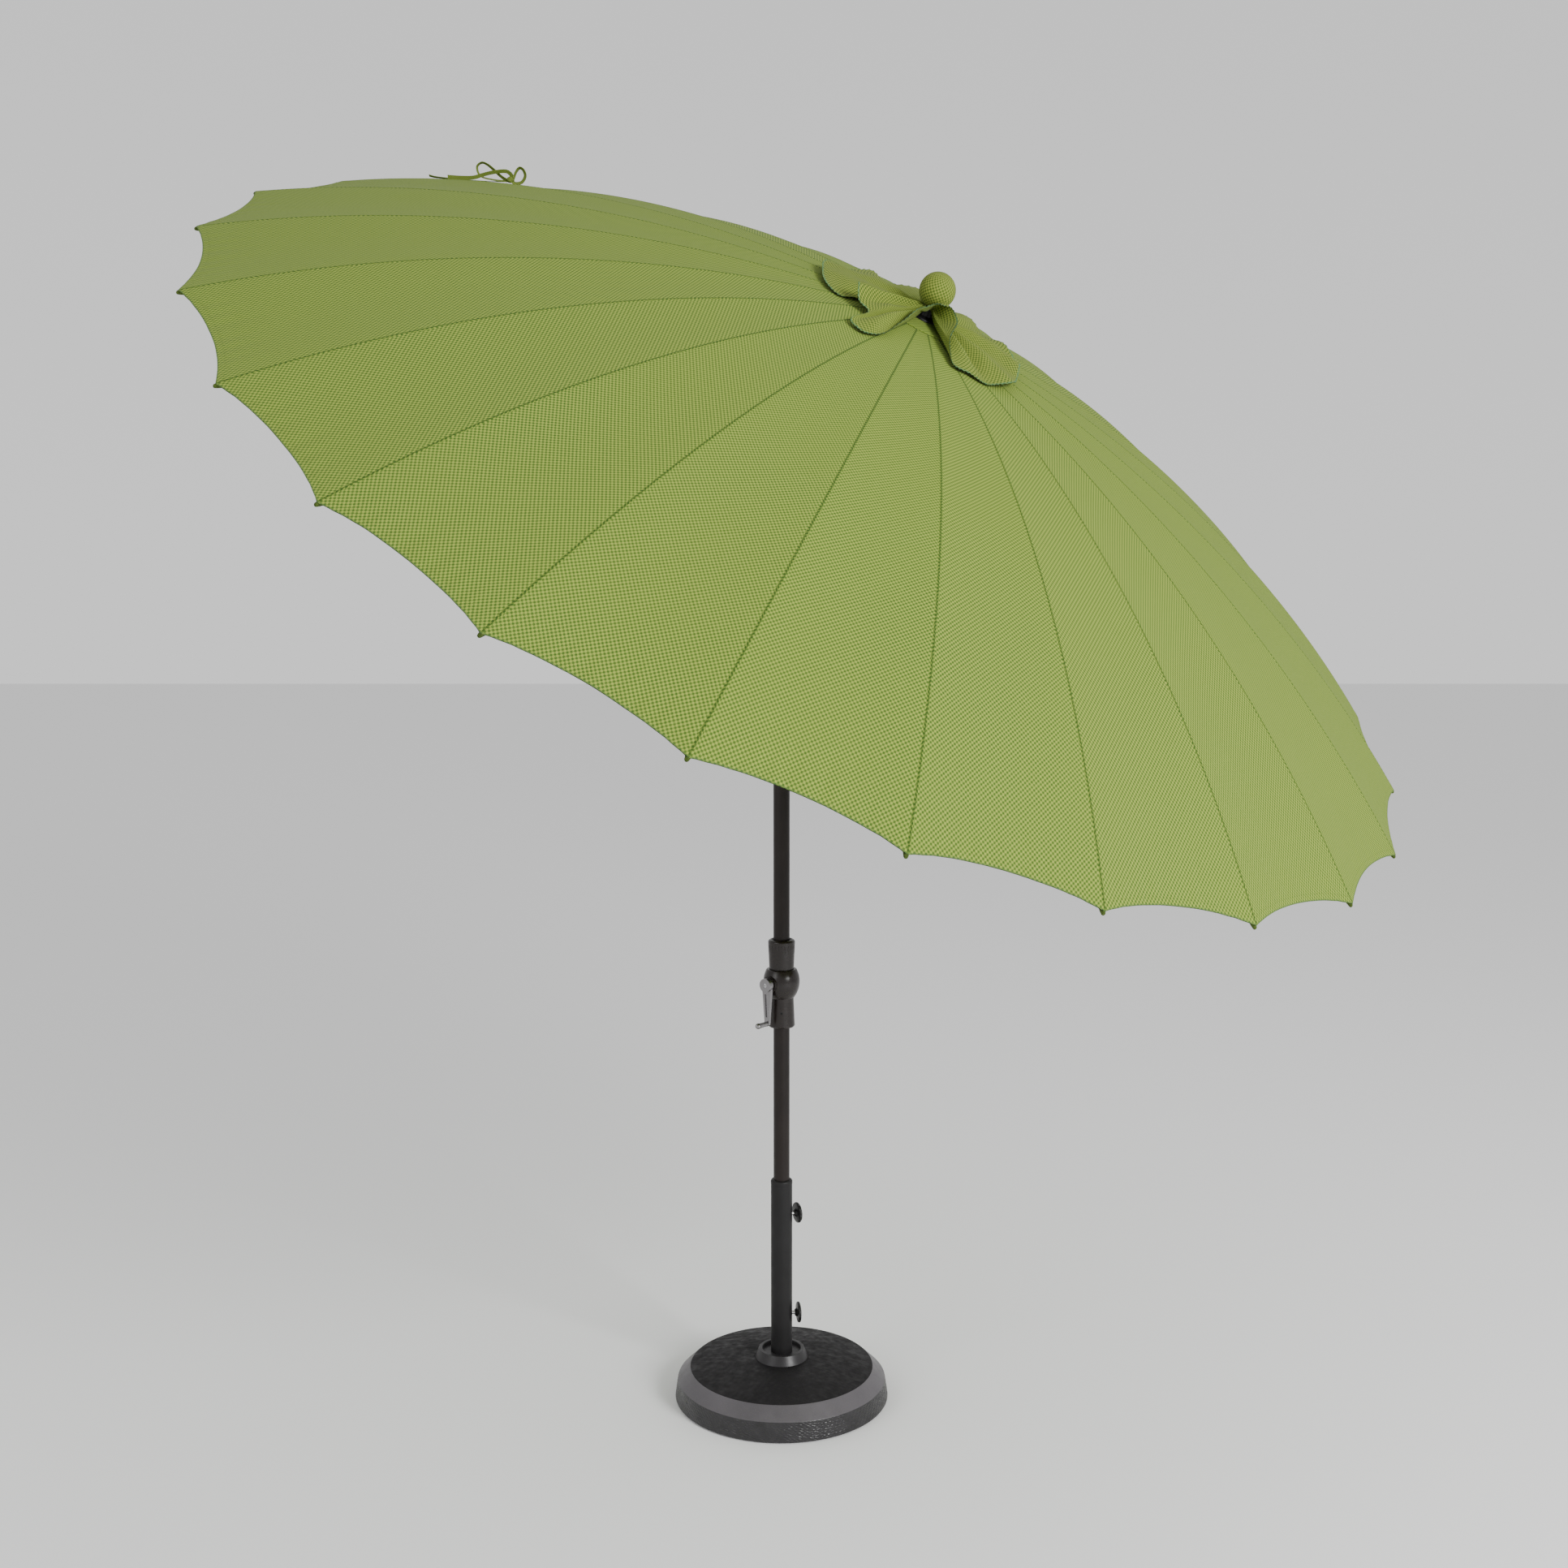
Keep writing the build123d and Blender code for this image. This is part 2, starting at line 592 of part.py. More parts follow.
# ---- tilt knuckle: fork on the middle pole, tongue on the upper pole, one cross pin -------------
# Both halves are a plug in the pole's end, a shoulder as wide as the pole, and round-ended cheeks.
pivot_plane = Plane(origin=PIVOT, x_dir=HINGE.cross(UP) * -1, z_dir=HINGE)
lower_stand = Plane(origin=PIVOT, x_dir=HINGE, z_dir=UP * -1)
upper_stand = Plane(origin=PIVOT, x_dir=HINGE, z_dir=mast.z_dir)
CHEEK_T = 6.0
CHEEK_OFFSET = TONGUE_T / 2 + GAP + CHEEK_T / 2
SHOULDER = KNUCKLE_R + 2
lower_cheeks = ((-CHEEK_OFFSET, CHEEK_T), (CHEEK_OFFSET, CHEEK_T))
for name, stand, cheeks in (
    ("lower_knuckle", lower_stand, lower_cheeks),
    ("upper_knuckle", upper_stand, ((0, TONGUE_T),)),
):
    with BuildPart() as knuckle:
        with BuildSketch(stand.offset(SHOULDER)):
            Circle(POLE_R)
        extrude(amount=KNUCKLE_REACH - SHOULDER - RUN)
        with BuildSketch(stand.offset(KNUCKLE_REACH - 1)):
            Circle(POLE_R - POLE_WALL - RUN)
        extrude(amount=20)
        for offset, thickness in cheeks:
            slab = Plane(origin=PIVOT + HINGE * offset, x_dir=stand.z_dir, z_dir=HINGE)
            with BuildSketch(slab):
                Circle(KNUCKLE_R)
                with Locations(((SHOULDER + 2) / 2, 0)):
                    Rectangle(SHOULDER + 2, 2 * KNUCKLE_R)
            extrude(amount=thickness / 2, both=True)
        with BuildSketch(pivot_plane):
            Circle(PIN_R + RUN)
        extrude(amount=POLE_R + 5, both=True, mode=Mode.SUBTRACT)
    knuckle.part.label = name
    export_step(knuckle.part, f"parts/{name}.step")

PIN_HALF = CHEEK_OFFSET + CHEEK_T / 2
with BuildPart() as knuckle_pin:
    with BuildSketch(pivot_plane):
        Circle(PIN_R)
    extrude(amount=PIN_HALF, both=True)
    for end in (-PIN_HALF - 1.6, PIN_HALF):
        with BuildSketch(pivot_plane.offset(end)):
            Circle(PIN_R + 3)
        extrude(amount=1.6)
knuckle_pin.part.label = "knuckle_pin"
export_step(knuckle_pin.part, "parts/knuckle_pin.step")

# ---- upper pole, hub and crown ----------------------------------------------------------------------
HUB_BOTTOM = HINGE_LEVEL - 16
HUB_TOP = HINGE_LEVEL + 9
with BuildPart() as upper_pole:
    with BuildSketch(mast.offset(KNUCKLE_REACH)):
        Circle(POLE_R)
        Circle(POLE_R - POLE_WALL, mode=Mode.SUBTRACT)
    extrude(amount=HUB_BOTTOM + 10 - KNUCKLE_REACH)
upper_pole.part.label = "upper_pole"
export_step(upper_pole.part, "parts/upper_pole.step")

with BuildPart() as top_hub:
    with BuildSketch(mast.offset(HUB_BOTTOM)):
        Circle(HINGE_R + 6)
    extrude(amount=HUB_TOP - HUB_BOTTOM)
    with BuildSketch(mast.offset(HUB_BOTTOM - 34)):
        Circle(POLE_R + 5)
    extrude(amount=34)
    with BuildSketch(mast.offset(HUB_BOTTOM - 34)):
        Circle(POLE_R + 0.05)
    extrude(amount=34 + 10, mode=Mode.SUBTRACT)
    with BuildSketch(mast.offset(HUB_BOTTOM)):
        Circle(8)
    extrude(amount=HUB_TOP, mode=Mode.SUBTRACT)
    for index in range(RIB_COUNT):
        slot = radial_side(RIB_PHASE + index * RIB_PITCH)
        with BuildSketch(slot):
            with Locations((HINGE_R + 4, HINGE_LEVEL)):
                Rectangle(22, 60)
        extrude(amount=BLADE_T / 2 + GAP, both=True, mode=Mode.SUBTRACT)
    with BuildSketch(mast_side):
        with Locations((HINGE_R, HINGE_LEVEL)):
            Circle(WIRE_R + RUN)
    revolve(axis=mast_axis, mode=Mode.SUBTRACT)
top_hub.part.label = "top_hub"
export_step(top_hub.part, "parts/top_hub.step")

with BuildPart() as rib_ring_wire:
    with BuildSketch(mast_side):
        with Locations((HINGE_R, HINGE_LEVEL)):
            Circle(WIRE_R)
    revolve(axis=mast_axis)
rib_ring_wire.part.label = "rib_ring_wire"
export_step(rib_ring_wire.part, "parts/rib_ring_wire.step")

with BuildPart() as hub_cap:
    with BuildSketch(mast_side):
        with BuildLine():
            Polyline(
                (0, HUB_BOTTOM + 14),
                (7.9, HUB_BOTTOM + 14),
                (7.9, APEX + 0.5),
                (30, APEX + 0.5),
                (29, APEX + 3.5),
                (12, APEX + 6),
                (12, BALL_LEVEL - 20),
                (0, BALL_LEVEL - 20),
                close=True,
            )
        make_face()
    revolve(axis=mast_axis)
hub_cap.part.label = "hub_cap"
export_step(hub_cap.part, "parts/hub_cap.step")

with BuildPart() as finial_ball:
    with BuildSketch(mast_side):
        with BuildLine():
            CenterArc((0, BALL_LEVEL), BALL_R, -64, 154)
            Polyline(
                (0, BALL_LEVEL + BALL_R),
                (0, BALL_LEVEL - 19.9),
                (12.1, BALL_LEVEL - 19.9),
                (12.1, BALL_LEVEL - BALL_R - 1),
                (BALL_R * cos(radians(64)), BALL_LEVEL - BALL_R * sin(radians(64))),
            )
        make_face()
    revolve(axis=mast_axis)
finial_ball.part.label = "finial_ball"
export_step(finial_ball.part, "parts/finial_ball.step")

with BuildPart() as flounce:
    with BuildSketch(mast_side):
        with BuildLine():
            ThreePointArc((12.3, APEX + 23), (FLOUNCE_R / 2, APEX + 20), (FLOUNCE_R, APEX - 4))
            Line((FLOUNCE_R, APEX - 4), (FLOUNCE_R, APEX - 7))
            ThreePointArc((FLOUNCE_R, APEX - 7), (FLOUNCE_R / 2, APEX + 17), (12.3, APEX + 20))
            Line((12.3, APEX + 20), (12.3, APEX + 23))
        make_face()
    revolve(axis=mast_axis)
flounce.part.label = "flounce"
export_step(flounce.part, "parts/flounce.step")

# ---- canopy: 24 gores, each curved one way only and scalloped at the hem ----------------------------
gore_x = cos(radians(HALF_PITCH))
gore_side = radial_side(RIB_PHASE + HALF_PITCH)
inner, middle, outer = (dome_point(r) for r in (1.0, TIP_R / 2, TIP_R))
with BuildPart() as gore:
    with BuildSketch(gore_side):
        with BuildLine():
            for drop in (0, CLOTH):
                ThreePointArc(
                    (inner[0] * gore_x, inner[1] - drop),
                    (middle[0] * gore_x, middle[1] - drop),
                    (outer[0] * gore_x, outer[1] - drop),
                )
            Line((inner[0] * gore_x, inner[1]), (inner[0] * gore_x, inner[1] - CLOTH))
            Line((outer[0] * gore_x, outer[1]), (outer[0] * gore_x, outer[1] - CLOTH))
        make_face()
    extrude(amount=TIP_R * sin(radians(HALF_PITCH)) + 2, both=True)
    plan = Plane(origin=mast.origin, x_dir=gore_side.x_dir, z_dir=mast.z_dir)
    half_width = TIP_R * sin(radians(HALF_PITCH))
    with BuildSketch(plan):
        with BuildLine():
            Line((0, 0), (TIP_R * gore_x, half_width))
            ThreePointArc(
                (TIP_R * gore_x, half_width),
                (TIP_R * gore_x - SCALLOP, 0),
                (TIP_R * gore_x, -half_width),
            )
            Line((TIP_R * gore_x, -half_width), (0, 0))
        make_face()
    extrude(amount=APEX + 10, mode=Mode.INTERSECT)

with BuildPart() as canopy:
    for index in range(RIB_COUNT):
        add(gore.part.rotate(mast_axis, index * RIB_PITCH))
    with BuildSketch(mast):
        Circle(VENT_HOLE_R)
    extrude(amount=APEX + 10, mode=Mode.SUBTRACT)
canopy.part.label = "canopy"
export_step(canopy.part, "parts/canopy.step")

# ---- closing tie, knotted in a bow on top of the canopy near the rim --------------------------------
TIE_R = 1100.0
TIE_ANGLE = 154.0
TIE_W = 10.0
TIE_T = 2.0
TIE_LIFT = 4.0
tie_slope = asin((TIE_R - DOME_X) / DOME_R)
tie_out = radial_side(TIE_ANGLE).x_dir
tie_spot = mast.origin + tie_out * TIE_R + mast.z_dir * dome_point(TIE_R)[1]
cloth_normal = tie_out * sin(tie_slope) + mast.z_dir * cos(tie_slope)
forward = Vector(0, -1, 0) - cloth_normal * cloth_normal.dot(Vector(0, -1, 0))
bow = Plane(origin=tie_spot, x_dir=cloth_normal.cross(forward), z_dir=forward)
with BuildPart() as tie_bow:
    with BuildSketch(bow):
        for x, y, a, b in ((-40, 24, 36, 17), (20, 24, 14, 20)):
            with Locations((x, y)):
                Ellipse(a, b)
                Ellipse(a - TIE_T, b - TIE_T, mode=Mode.SUBTRACT)
        with Locations((0, TIE_LIFT + 6)):
            RectangleRounded(24, 12, 4)
        with BuildLine():
            Polyline((0, 7), (-150, 6), (-150, 9), (0, 11), close=True)
        make_face()
    extrude(amount=TIE_W / 2, both=True)
tie_bow.part.label = "tie_bow"
export_step(tie_bow.part, "parts/tie_bow.step")

# ---- ribs: a curved rod, a hinge blade in the hub and a lug for the stretcher -----------------------
lug_x, lug_rod_y = dome_point(LUG_R, ROD_DROP)
lug_y = lug_rod_y - LUG_DROP
rod_start = dome_point(HINGE_R + 14, ROD_DROP)
rod_middle = dome_point(TIP_R / 2, ROD_DROP)
rod_end = dome_point(TIP_R - 14, ROD_DROP)
for index in range(RIB_COUNT):
    side = radial_side(RIB_PHASE + index * RIB_PITCH)
    with BuildPart() as rib:
        with BuildLine(side) as rod_line:
            ThreePointArc(rod_start, rod_middle, rod_end)
        with BuildSketch(Plane(origin=rod_line.line @ 0, z_dir=rod_line.line % 0)):
            RegularPolygon(ROD_R, ROD_SIDES)
        sweep()
        with BuildSketch(Plane(origin=rod_line.line @ 1, z_dir=rod_line.line % 1)):
            Circle(ROD_R + 1.0)
        extrude(amount=-26)
        with BuildSketch(side):
            with BuildLine():
                Polyline(
                    (HINGE_R, HINGE_LEVEL + 5),
                    (rod_start[0] + 16, rod_start[1] + 2),
                    (rod_start[0] + 16, rod_start[1] - 4.5),
                    (HINGE_R, HINGE_LEVEL - 5),
                    close=True,
                )
            make_face()
            with Locations((HINGE_R, HINGE_LEVEL)):
                Circle(5)
                Circle(WIRE_R + 0.1, mode=Mode.SUBTRACT)
        extrude(amount=BLADE_T / 2, both=True)
        with BuildSketch(side):
            with BuildLine():
                Polyline(
                    (lug_x - 26, lug_rod_y + 4),
                    (lug_x - 6, lug_y),
                    (lug_x + 6, lug_y),
                    (lug_x + 26, lug_rod_y - 11),
                    close=True,
                )
            make_face()
            with Locations((lug_x, lug_y)):
                Circle(6)
                Circle(2.5 + RUN, mode=Mode.SUBTRACT)
        extrude(amount=BLADE_T / 2, both=True)
    rib.part.label = f"rib_{index + 1:02d}"
    export_step(rib.part, f"parts/rib_{index + 1:02d}.step")

# ---- runner, its ring wire and the 24 stretchers ------------------------------------------------------
with BuildPart() as runner:
    with BuildSketch(mast.offset(RUNNER_LEVEL - 9)):
        Circle(RUNNER_R)
    extrude(amount=18)
    with BuildSketch(mast.offset(RUNNER_LEVEL - 42)):
        Circle(POLE_R + 7)
    extrude(amount=72)
    with BuildSketch(mast.offset(RUNNER_LEVEL - 42)):
        Circle(RUNNER_BORE)
    extrude(amount=72, mode=Mode.SUBTRACT)
    for index in range(RIB_COUNT):
        slot = radial_side(RIB_PHASE + index * RIB_PITCH)
        with BuildSketch(slot):
            with Locations((RUNNER_WIRE_R + 4, RUNNER_LEVEL)):
                Rectangle(19, 60)
        extrude(amount=BLADE_T / 2, both=True, mode=Mode.SUBTRACT)
    with BuildSketch(mast_side):
        with Locations((RUNNER_WIRE_R, RUNNER_LEVEL)):
            Circle(WIRE_R + RUN)
    revolve(axis=mast_axis, mode=Mode.SUBTRACT)
runner.part.label = "runner"
export_step(runner.part, "parts/runner.step")

with BuildPart() as stretcher_ring_wire:
    with BuildSketch(mast_side):
        with Locations((RUNNER_WIRE_R, RUNNER_LEVEL)):
            Circle(WIRE_R)
    revolve(axis=mast_axis)
stretcher_ring_wire.part.label = "stretcher_ring_wire"
export_step(stretcher_ring_wire.part, "parts/stretcher_ring_wire.step")

inner_pin = Vector(RUNNER_WIRE_R, RUNNER_LEVEL, 0)
outer_pin = Vector(lug_x, lug_y, 0)
along = (outer_pin - inner_pin).normalized()
rod_from = inner_pin + along * 14
rod_to = outer_pin - along * 12
square = Vector(-along.Y, along.X, 0)
FORK_GAP = BLADE_T / 2 + GAP
FORK_T = 2.0
with BuildPart() as stretchers:
    for index in range(RIB_COUNT):
        side = radial_side(RIB_PHASE + index * RIB_PITCH)
        axis_3d = side.x_dir * along.X + side.y_dir * along.Y
        with BuildSketch(Plane(origin=side.from_local_coords(rod_from), z_dir=axis_3d)):
            Circle(STRETCHER_R)
        extrude(amount=(rod_to - rod_from).length)
        with BuildSketch(side):
            with BuildLine():
                Polyline(
                    *(
                        point + square * reach
                        for point, reach in (
                            (inner_pin, 4),
                            (inner_pin + along * 24, 3),
                            (inner_pin + along * 24, -3),
                            (inner_pin, -4),
                        )
                    ),
                    close=True,
                )
            make_face()
            with Locations(inner_pin):
                Circle(4)
                Circle(WIRE_R + 0.1, mode=Mode.SUBTRACT)
        extrude(amount=BLADE_T / 2 - GAP, both=True)
        # fork at the outer end, and its pin through the rib's lug
        for sign in (-1, 1):
            cheek = side.offset(sign * (FORK_GAP + FORK_T / 2))
            with BuildSketch(cheek):
                with BuildLine():
                    Polyline(
                        *(
                            point + square * reach
                            for point, reach in (
                                (outer_pin - along * 22, 3),
                                (outer_pin, 5),
                                (outer_pin, -5),
                                (outer_pin - along * 22, -3),
                            )
                        ),
                        close=True,
                    )
                make_face()
                with Locations(outer_pin):
                    Circle(5)
            extrude(amount=FORK_T / 2, both=True)
        with BuildSketch(side):
            with Locations(outer_pin):
                Circle(2.5)
        extrude(amount=FORK_GAP + 1, both=True)
stretchers.part.label = "stretchers"
export_step(stretchers.part, "parts/stretchers.step")

print("stretcher length", round((outer_pin - inner_pin).length, 1))
print("pieces", len(os.listdir("parts")))
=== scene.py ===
import json
import math

import bmesh
import bpy
import numpy as np
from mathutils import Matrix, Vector


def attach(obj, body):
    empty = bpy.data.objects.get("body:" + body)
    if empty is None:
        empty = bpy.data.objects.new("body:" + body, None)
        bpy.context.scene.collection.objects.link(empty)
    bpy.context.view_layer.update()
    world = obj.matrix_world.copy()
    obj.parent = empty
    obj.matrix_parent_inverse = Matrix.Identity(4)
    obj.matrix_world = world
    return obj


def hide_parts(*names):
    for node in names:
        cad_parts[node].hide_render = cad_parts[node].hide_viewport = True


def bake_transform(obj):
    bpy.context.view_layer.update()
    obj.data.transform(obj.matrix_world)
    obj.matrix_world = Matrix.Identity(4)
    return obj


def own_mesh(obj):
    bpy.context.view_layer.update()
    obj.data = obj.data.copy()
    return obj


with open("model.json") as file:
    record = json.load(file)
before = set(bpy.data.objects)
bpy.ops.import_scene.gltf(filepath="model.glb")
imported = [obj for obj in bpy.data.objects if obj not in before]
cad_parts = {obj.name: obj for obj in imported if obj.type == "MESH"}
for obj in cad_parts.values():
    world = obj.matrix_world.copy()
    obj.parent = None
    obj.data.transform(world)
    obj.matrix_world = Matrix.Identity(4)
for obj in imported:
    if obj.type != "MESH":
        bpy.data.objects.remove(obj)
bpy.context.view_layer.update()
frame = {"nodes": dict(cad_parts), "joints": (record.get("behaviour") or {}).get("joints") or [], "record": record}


scene = bpy.context.scene
nodes = frame["nodes"]
joints = {j["name"]: j for j in frame["joints"]}

# ---- the mast's own frame: origin at the tilt pin, z up the mast, angle 0 at the first rib ----
RIBS = 24
PITCH = math.radians(360 / RIBS)
HALF = PITCH / 2
pivot = np.array(joints["tilt"]["pos_m"], float)
mast_z = np.array(joints["runner_slide"]["axis"], float)
mast_z /= np.linalg.norm(mast_z)
mast_x = np.cross(np.array(joints["rib_01_hinge"]["axis"], float), mast_z)
mast_x /= np.linalg.norm(mast_x)
mast_y = np.cross(mast_z, mast_x)

TIP_R = 1.430
APEX = 0.7058
TIP_LEVEL = 0.2675
HALF_ARC = math.radians(14.2)
SCALLOP = 0.024
CANOPY_TOP = -0.0002
SKIN = 0.0012
BALL_LEVEL = 0.7692
BALL_R = 0.0387
CROWN_R = 0.095
chord = math.hypot(TIP_R, APEX - TIP_LEVEL)
apex_slope = math.asin((APEX - TIP_LEVEL) / chord) - HALF_ARC
dome_r = chord / (2 * math.sin(HALF_ARC))
dome_x = -dome_r * math.sin(apex_slope)
dome_z = APEX - dome_r * math.cos(apex_slope)


def place(x, y, z):
    """World points from mast coordinates."""
    x, y, z = np.broadcast_arrays(x, y, z)
    return (
        pivot
        + x[..., None] * mast_x
        + y[..., None] * mast_y
        + z[..., None] * mast_z
    )


def dome(r):
    return dome_z + np.sqrt(dome_r**2 - (r - dome_x) ** 2)


def ripple(x, y, size, seed):
    """Smooth repeatable unevenness between -1 and 1, for lengths of about size."""
    rng = np.random.default_rng(seed)
    out = np.zeros(np.broadcast(x, y).shape)
    for _ in range(7):
        k = 2 * math.pi / size * rng.uniform(0.5, 1.3)
        a, ph = rng.uniform(0, 2 * math.pi, 2)
        out = out + np.sin(k * (x * math.cos(a) + y * math.sin(a)) + ph)
    return out / 7 * 1.6


def hem_radius(alpha):
    """Plan radius of the scalloped hem, alpha measured from the middle of the gore."""
    half_width = TIP_R * math.sin(HALF)
    bend = (half_width**2 + SCALLOP**2) / (2 * SCALLOP)
    middle = TIP_R * math.cos(HALF)
    x = np.full(np.shape(alpha), middle)
    for _ in range(6):
        y = np.minimum(np.abs(x * np.tan(alpha)), half_width)
        x = middle - SCALLOP + bend - np.sqrt(bend**2 - y**2)
    return x / np.cos(alpha)


def cloth_level(r, angle):
    """Level of the cloth's top at plan radius r and mast angle."""
    alpha = np.abs((angle % PITCH) - HALF)
    along = r * np.cos(alpha) / math.cos(HALF)
    share = np.clip(r / TIP_R, 0, 1.02)
    sag = 0.0075 * share**1.3 * np.cos(math.pi * alpha / PITCH) ** 1.2
    x, y = r * np.cos(angle), r * np.sin(angle)
    calm = np.clip(1 - (alpha / HALF) ** 4, 0, 1)
    uneven = 0.0016 * ripple(x, y, 0.42, 3) + 0.0007 * ripple(x, y, 0.11, 5) * share**3
    hem = hem_radius(alpha)
    pull = 0.0022 * np.exp(-((hem - r) / 0.06) ** 2) * np.sin(9 * math.pi * (alpha / HALF))
    return dome(np.minimum(along, TIP_R)) + CANOPY_TOP - sag + calm * (uneven + pull * 0.35)


def mesh_from(name, verts, quads, uvs):
    """uvs: name -> (faces, corners, 2)."""
    me = bpy.data.meshes.new(name)
    me.from_pydata(verts.reshape(-1, 3).tolist(), [], quads.tolist())
    for key, value in uvs.items():
        layer = me.uv_layers.new(name=key)
        layer.data.foreach_set("uv", np.asarray(value, np.float32).ravel())
    me.polygons.foreach_set("use_smooth", [True] * len(me.polygons))
    me.update()
    ob = bpy.data.objects.new(name, me)
    scene.collection.objects.link(ob)
    return ob


def grid_quads(rows, cols, start=0, flip=False, wrap=False):
    i, j = np.meshgrid(np.arange(rows - 1), np.arange(cols if wrap else cols - 1), indexing="ij")
    i, j = i.ravel(), j.ravel()
    k = (j + 1) % cols
    q = np.stack([i * cols + j, i * cols + k, (i + 1) * cols + k, (i + 1) * cols + j], 1) + start
    return q[:, ::-1] if flip else q


def grid_normals(p):
    du = np.gradient(p, axis=0)
    dv = np.gradient(p, axis=1)
    n = np.cross(du, dv)
    return n / np.maximum(np.linalg.norm(n, axis=-1, keepdims=True), 1e-12)


def slab(name, top, thick, uv, normals=None, sides=True, uv_right=None):
    """A thin closed sheet: top is a grid of points, thick the thickness at each, uv the grid's uv layers."""
    rows, cols = top.shape[:2]
    n = grid_normals(top) if normals is None else normals
    if n[rows // 2, cols // 2] @ mast_z < 0 and normals is None:
        n = -n
    low = top - n * np.asarray(thick)[..., None]
    verts = np.concatenate([top.reshape(-1, 3), low.reshape(-1, 3)])
    count = rows * cols
    du = top[rows // 2 + 1, cols // 2] - top[rows // 2, cols // 2]
    dv = top[rows // 2, cols // 2 + 1] - top[rows // 2, cols // 2]
    facing = np.cross(dv, du) @ n[rows // 2, cols // 2] > 0
    top_q = grid_quads(rows, cols, 0, not facing)
    low_q = grid_quads(rows, cols, count, facing)
    edge = []
    if sides:
        ring = [(0, j) for j in range(cols)] + [(i, cols - 1) for i in range(1, rows)]
        ring += [(rows - 1, j) for j in range(cols - 2, -1, -1)]
        ring += [(i, 0) for i in range(rows - 2, 0, -1)]
        loop = [i * cols + j for i, j in ring]
        for a, b in zip(loop, loop[1:] + loop[:1]):
            edge.append([a, b, b + count, a + count])
    else:
        for i in (0, rows - 1):
            for j in range(cols - 1):
                a, b = i * cols + j, i * cols + j + 1
                if i:
                    a, b = b, a
                edge.append([a, b, b + count, a + count])
    edge = np.array(edge)
    if facing:
        edge = edge[:, ::-1]
    quads = np.concatenate([top_q, low_q, edge])
    layers = {}
    face_col = (quads % count % cols).min(1)
    right = face_col >= cols // 2
    for key, value in uv.items():
        flat = np.asarray(value).reshape(-1, 2)
        layers[key] = flat[quads % count]
        if uv_right is not None and key in uv_right:
            other = np.asarray(uv_right[key]).reshape(-1, 2)
            layers[key] = np.where(right[:, None, None], other[quads % count], layers[key])
    ob = mesh_from(name, verts, quads, layers)
    if normals is not None:
        both = np.concatenate([n.reshape(-1, 3), -n.reshape(-1, 3)])
        ob.data.normals_split_custom_set_from_vertices(both.tolist())
    return ob


def edit_mesh(ob, change):
    """Change the mesh as a bmesh, then turn its faces outwards."""
    bm = bmesh.new()
    bm.from_mesh(ob.data)
    change(bm)
    bmesh.ops.recalc_face_normals(bm, faces=bm.faces)
    bm.to_mesh(ob.data)
    bm.free()


def weld(ob):
    edit_mesh(ob, lambda bm: bmesh.ops.remove_doubles(bm, verts=bm.verts, dist=1e-6))


# ---- materials ----
class Shader:
    """Short hand for building one node material."""

    def __init__(self, name):
        self.mat = bpy.data.materials.new(name)
        self.mat.use_nodes = True
        self.tree = self.mat.node_tree
        self.bsdf = self.tree.nodes["Principled BSDF"]

    def add(self, kind, **inputs):
        node = self.tree.nodes.new(kind)
        for key, value in inputs.items():
            if hasattr(node, key):
                setattr(node, key, value)
            else:
                socket = int(key[1:]) if key[1:].isdigit() else key.replace("_", " ")
                self.feed(node.inputs[socket], value)
        return node

    def feed(self, socket, value):
        if hasattr(value, "is_output"):
            self.tree.links.new(value, socket)
        else:
            socket.default_value = value

    def math(self, op, a, b=0.0, c=0.0):
        return self.add("ShaderNodeMath", operation=op, i0=a, i1=b, i2=c).outputs[0]

    def noise(self, where, scale, detail=3.0, rough=0.55):
        node = self.add("ShaderNodeTexNoise", Vector=where, Scale=scale, Detail=detail, Roughness=rough)
        return node.outputs["Fac"]

    def grey(self, value, low, high, from_low=0.0, from_high=1.0):
        node = self.add("ShaderNodeMapRange", Value=value)
        for key, number in (("From Min", from_low), ("From Max", from_high),
                            ("To Min", low), ("To Max", high)):
            node.inputs[key].default_value = number
        return node.outputs["Result"]

    def mix(self, fac, a, b, blend="MIX"):
        node = self.add("ShaderNodeMix", data_type="RGBA", blend_type=blend)
        for socket, value in ((node.inputs[0], fac), (node.inputs[6], a), (node.inputs[7], b)):
            if isinstance(value, tuple) and len(value) == 3:
                value = (*value, 1)
            self.feed(socket, value)
        return node.outputs[2]

    def object_space(self):
        return self.add("ShaderNodeTexCoord").outputs["Object"]

    def uv(self, name):
        node = self.add("ShaderNodeUVMap", uv_map=name)
        out = self.add("ShaderNodeSeparateXYZ", Vector=node.outputs[0])
        return out.outputs[0], out.outputs[1]

    def bump(self, height, strength, distance, after=None):
        node = self.add("ShaderNodeBump", Height=height, Strength=strength, Distance=distance)
        if after is not None:
            self.tree.links.new(after, node.inputs["Normal"])
        return node.outputs["Normal"]

    def finish(self, colour, rough, normal=None, **uniform):
        self.feed(self.bsdf.inputs["Base Color"], colour)
        self.feed(self.bsdf.inputs["Roughness"], rough)
        if normal is not None:
            self.feed(self.bsdf.inputs["Normal"], normal)
        for key, value in uniform.items():
            self.bsdf.inputs[key.replace("_", " ")].default_value = value
        return self.mat


CHECK = 0.0086  # period of the woven check
STITCH_STEP = 0.0075
HEM_STITCH = 0.0115  # distance of the hem's stitching from the edge
LIGHT_THREAD = (0.285, 0.365, 0.058)
DARK_THREAD = (0.042, 0.104, 0.014)
DEEP_THREAD = (0.022, 0.060, 0.008)


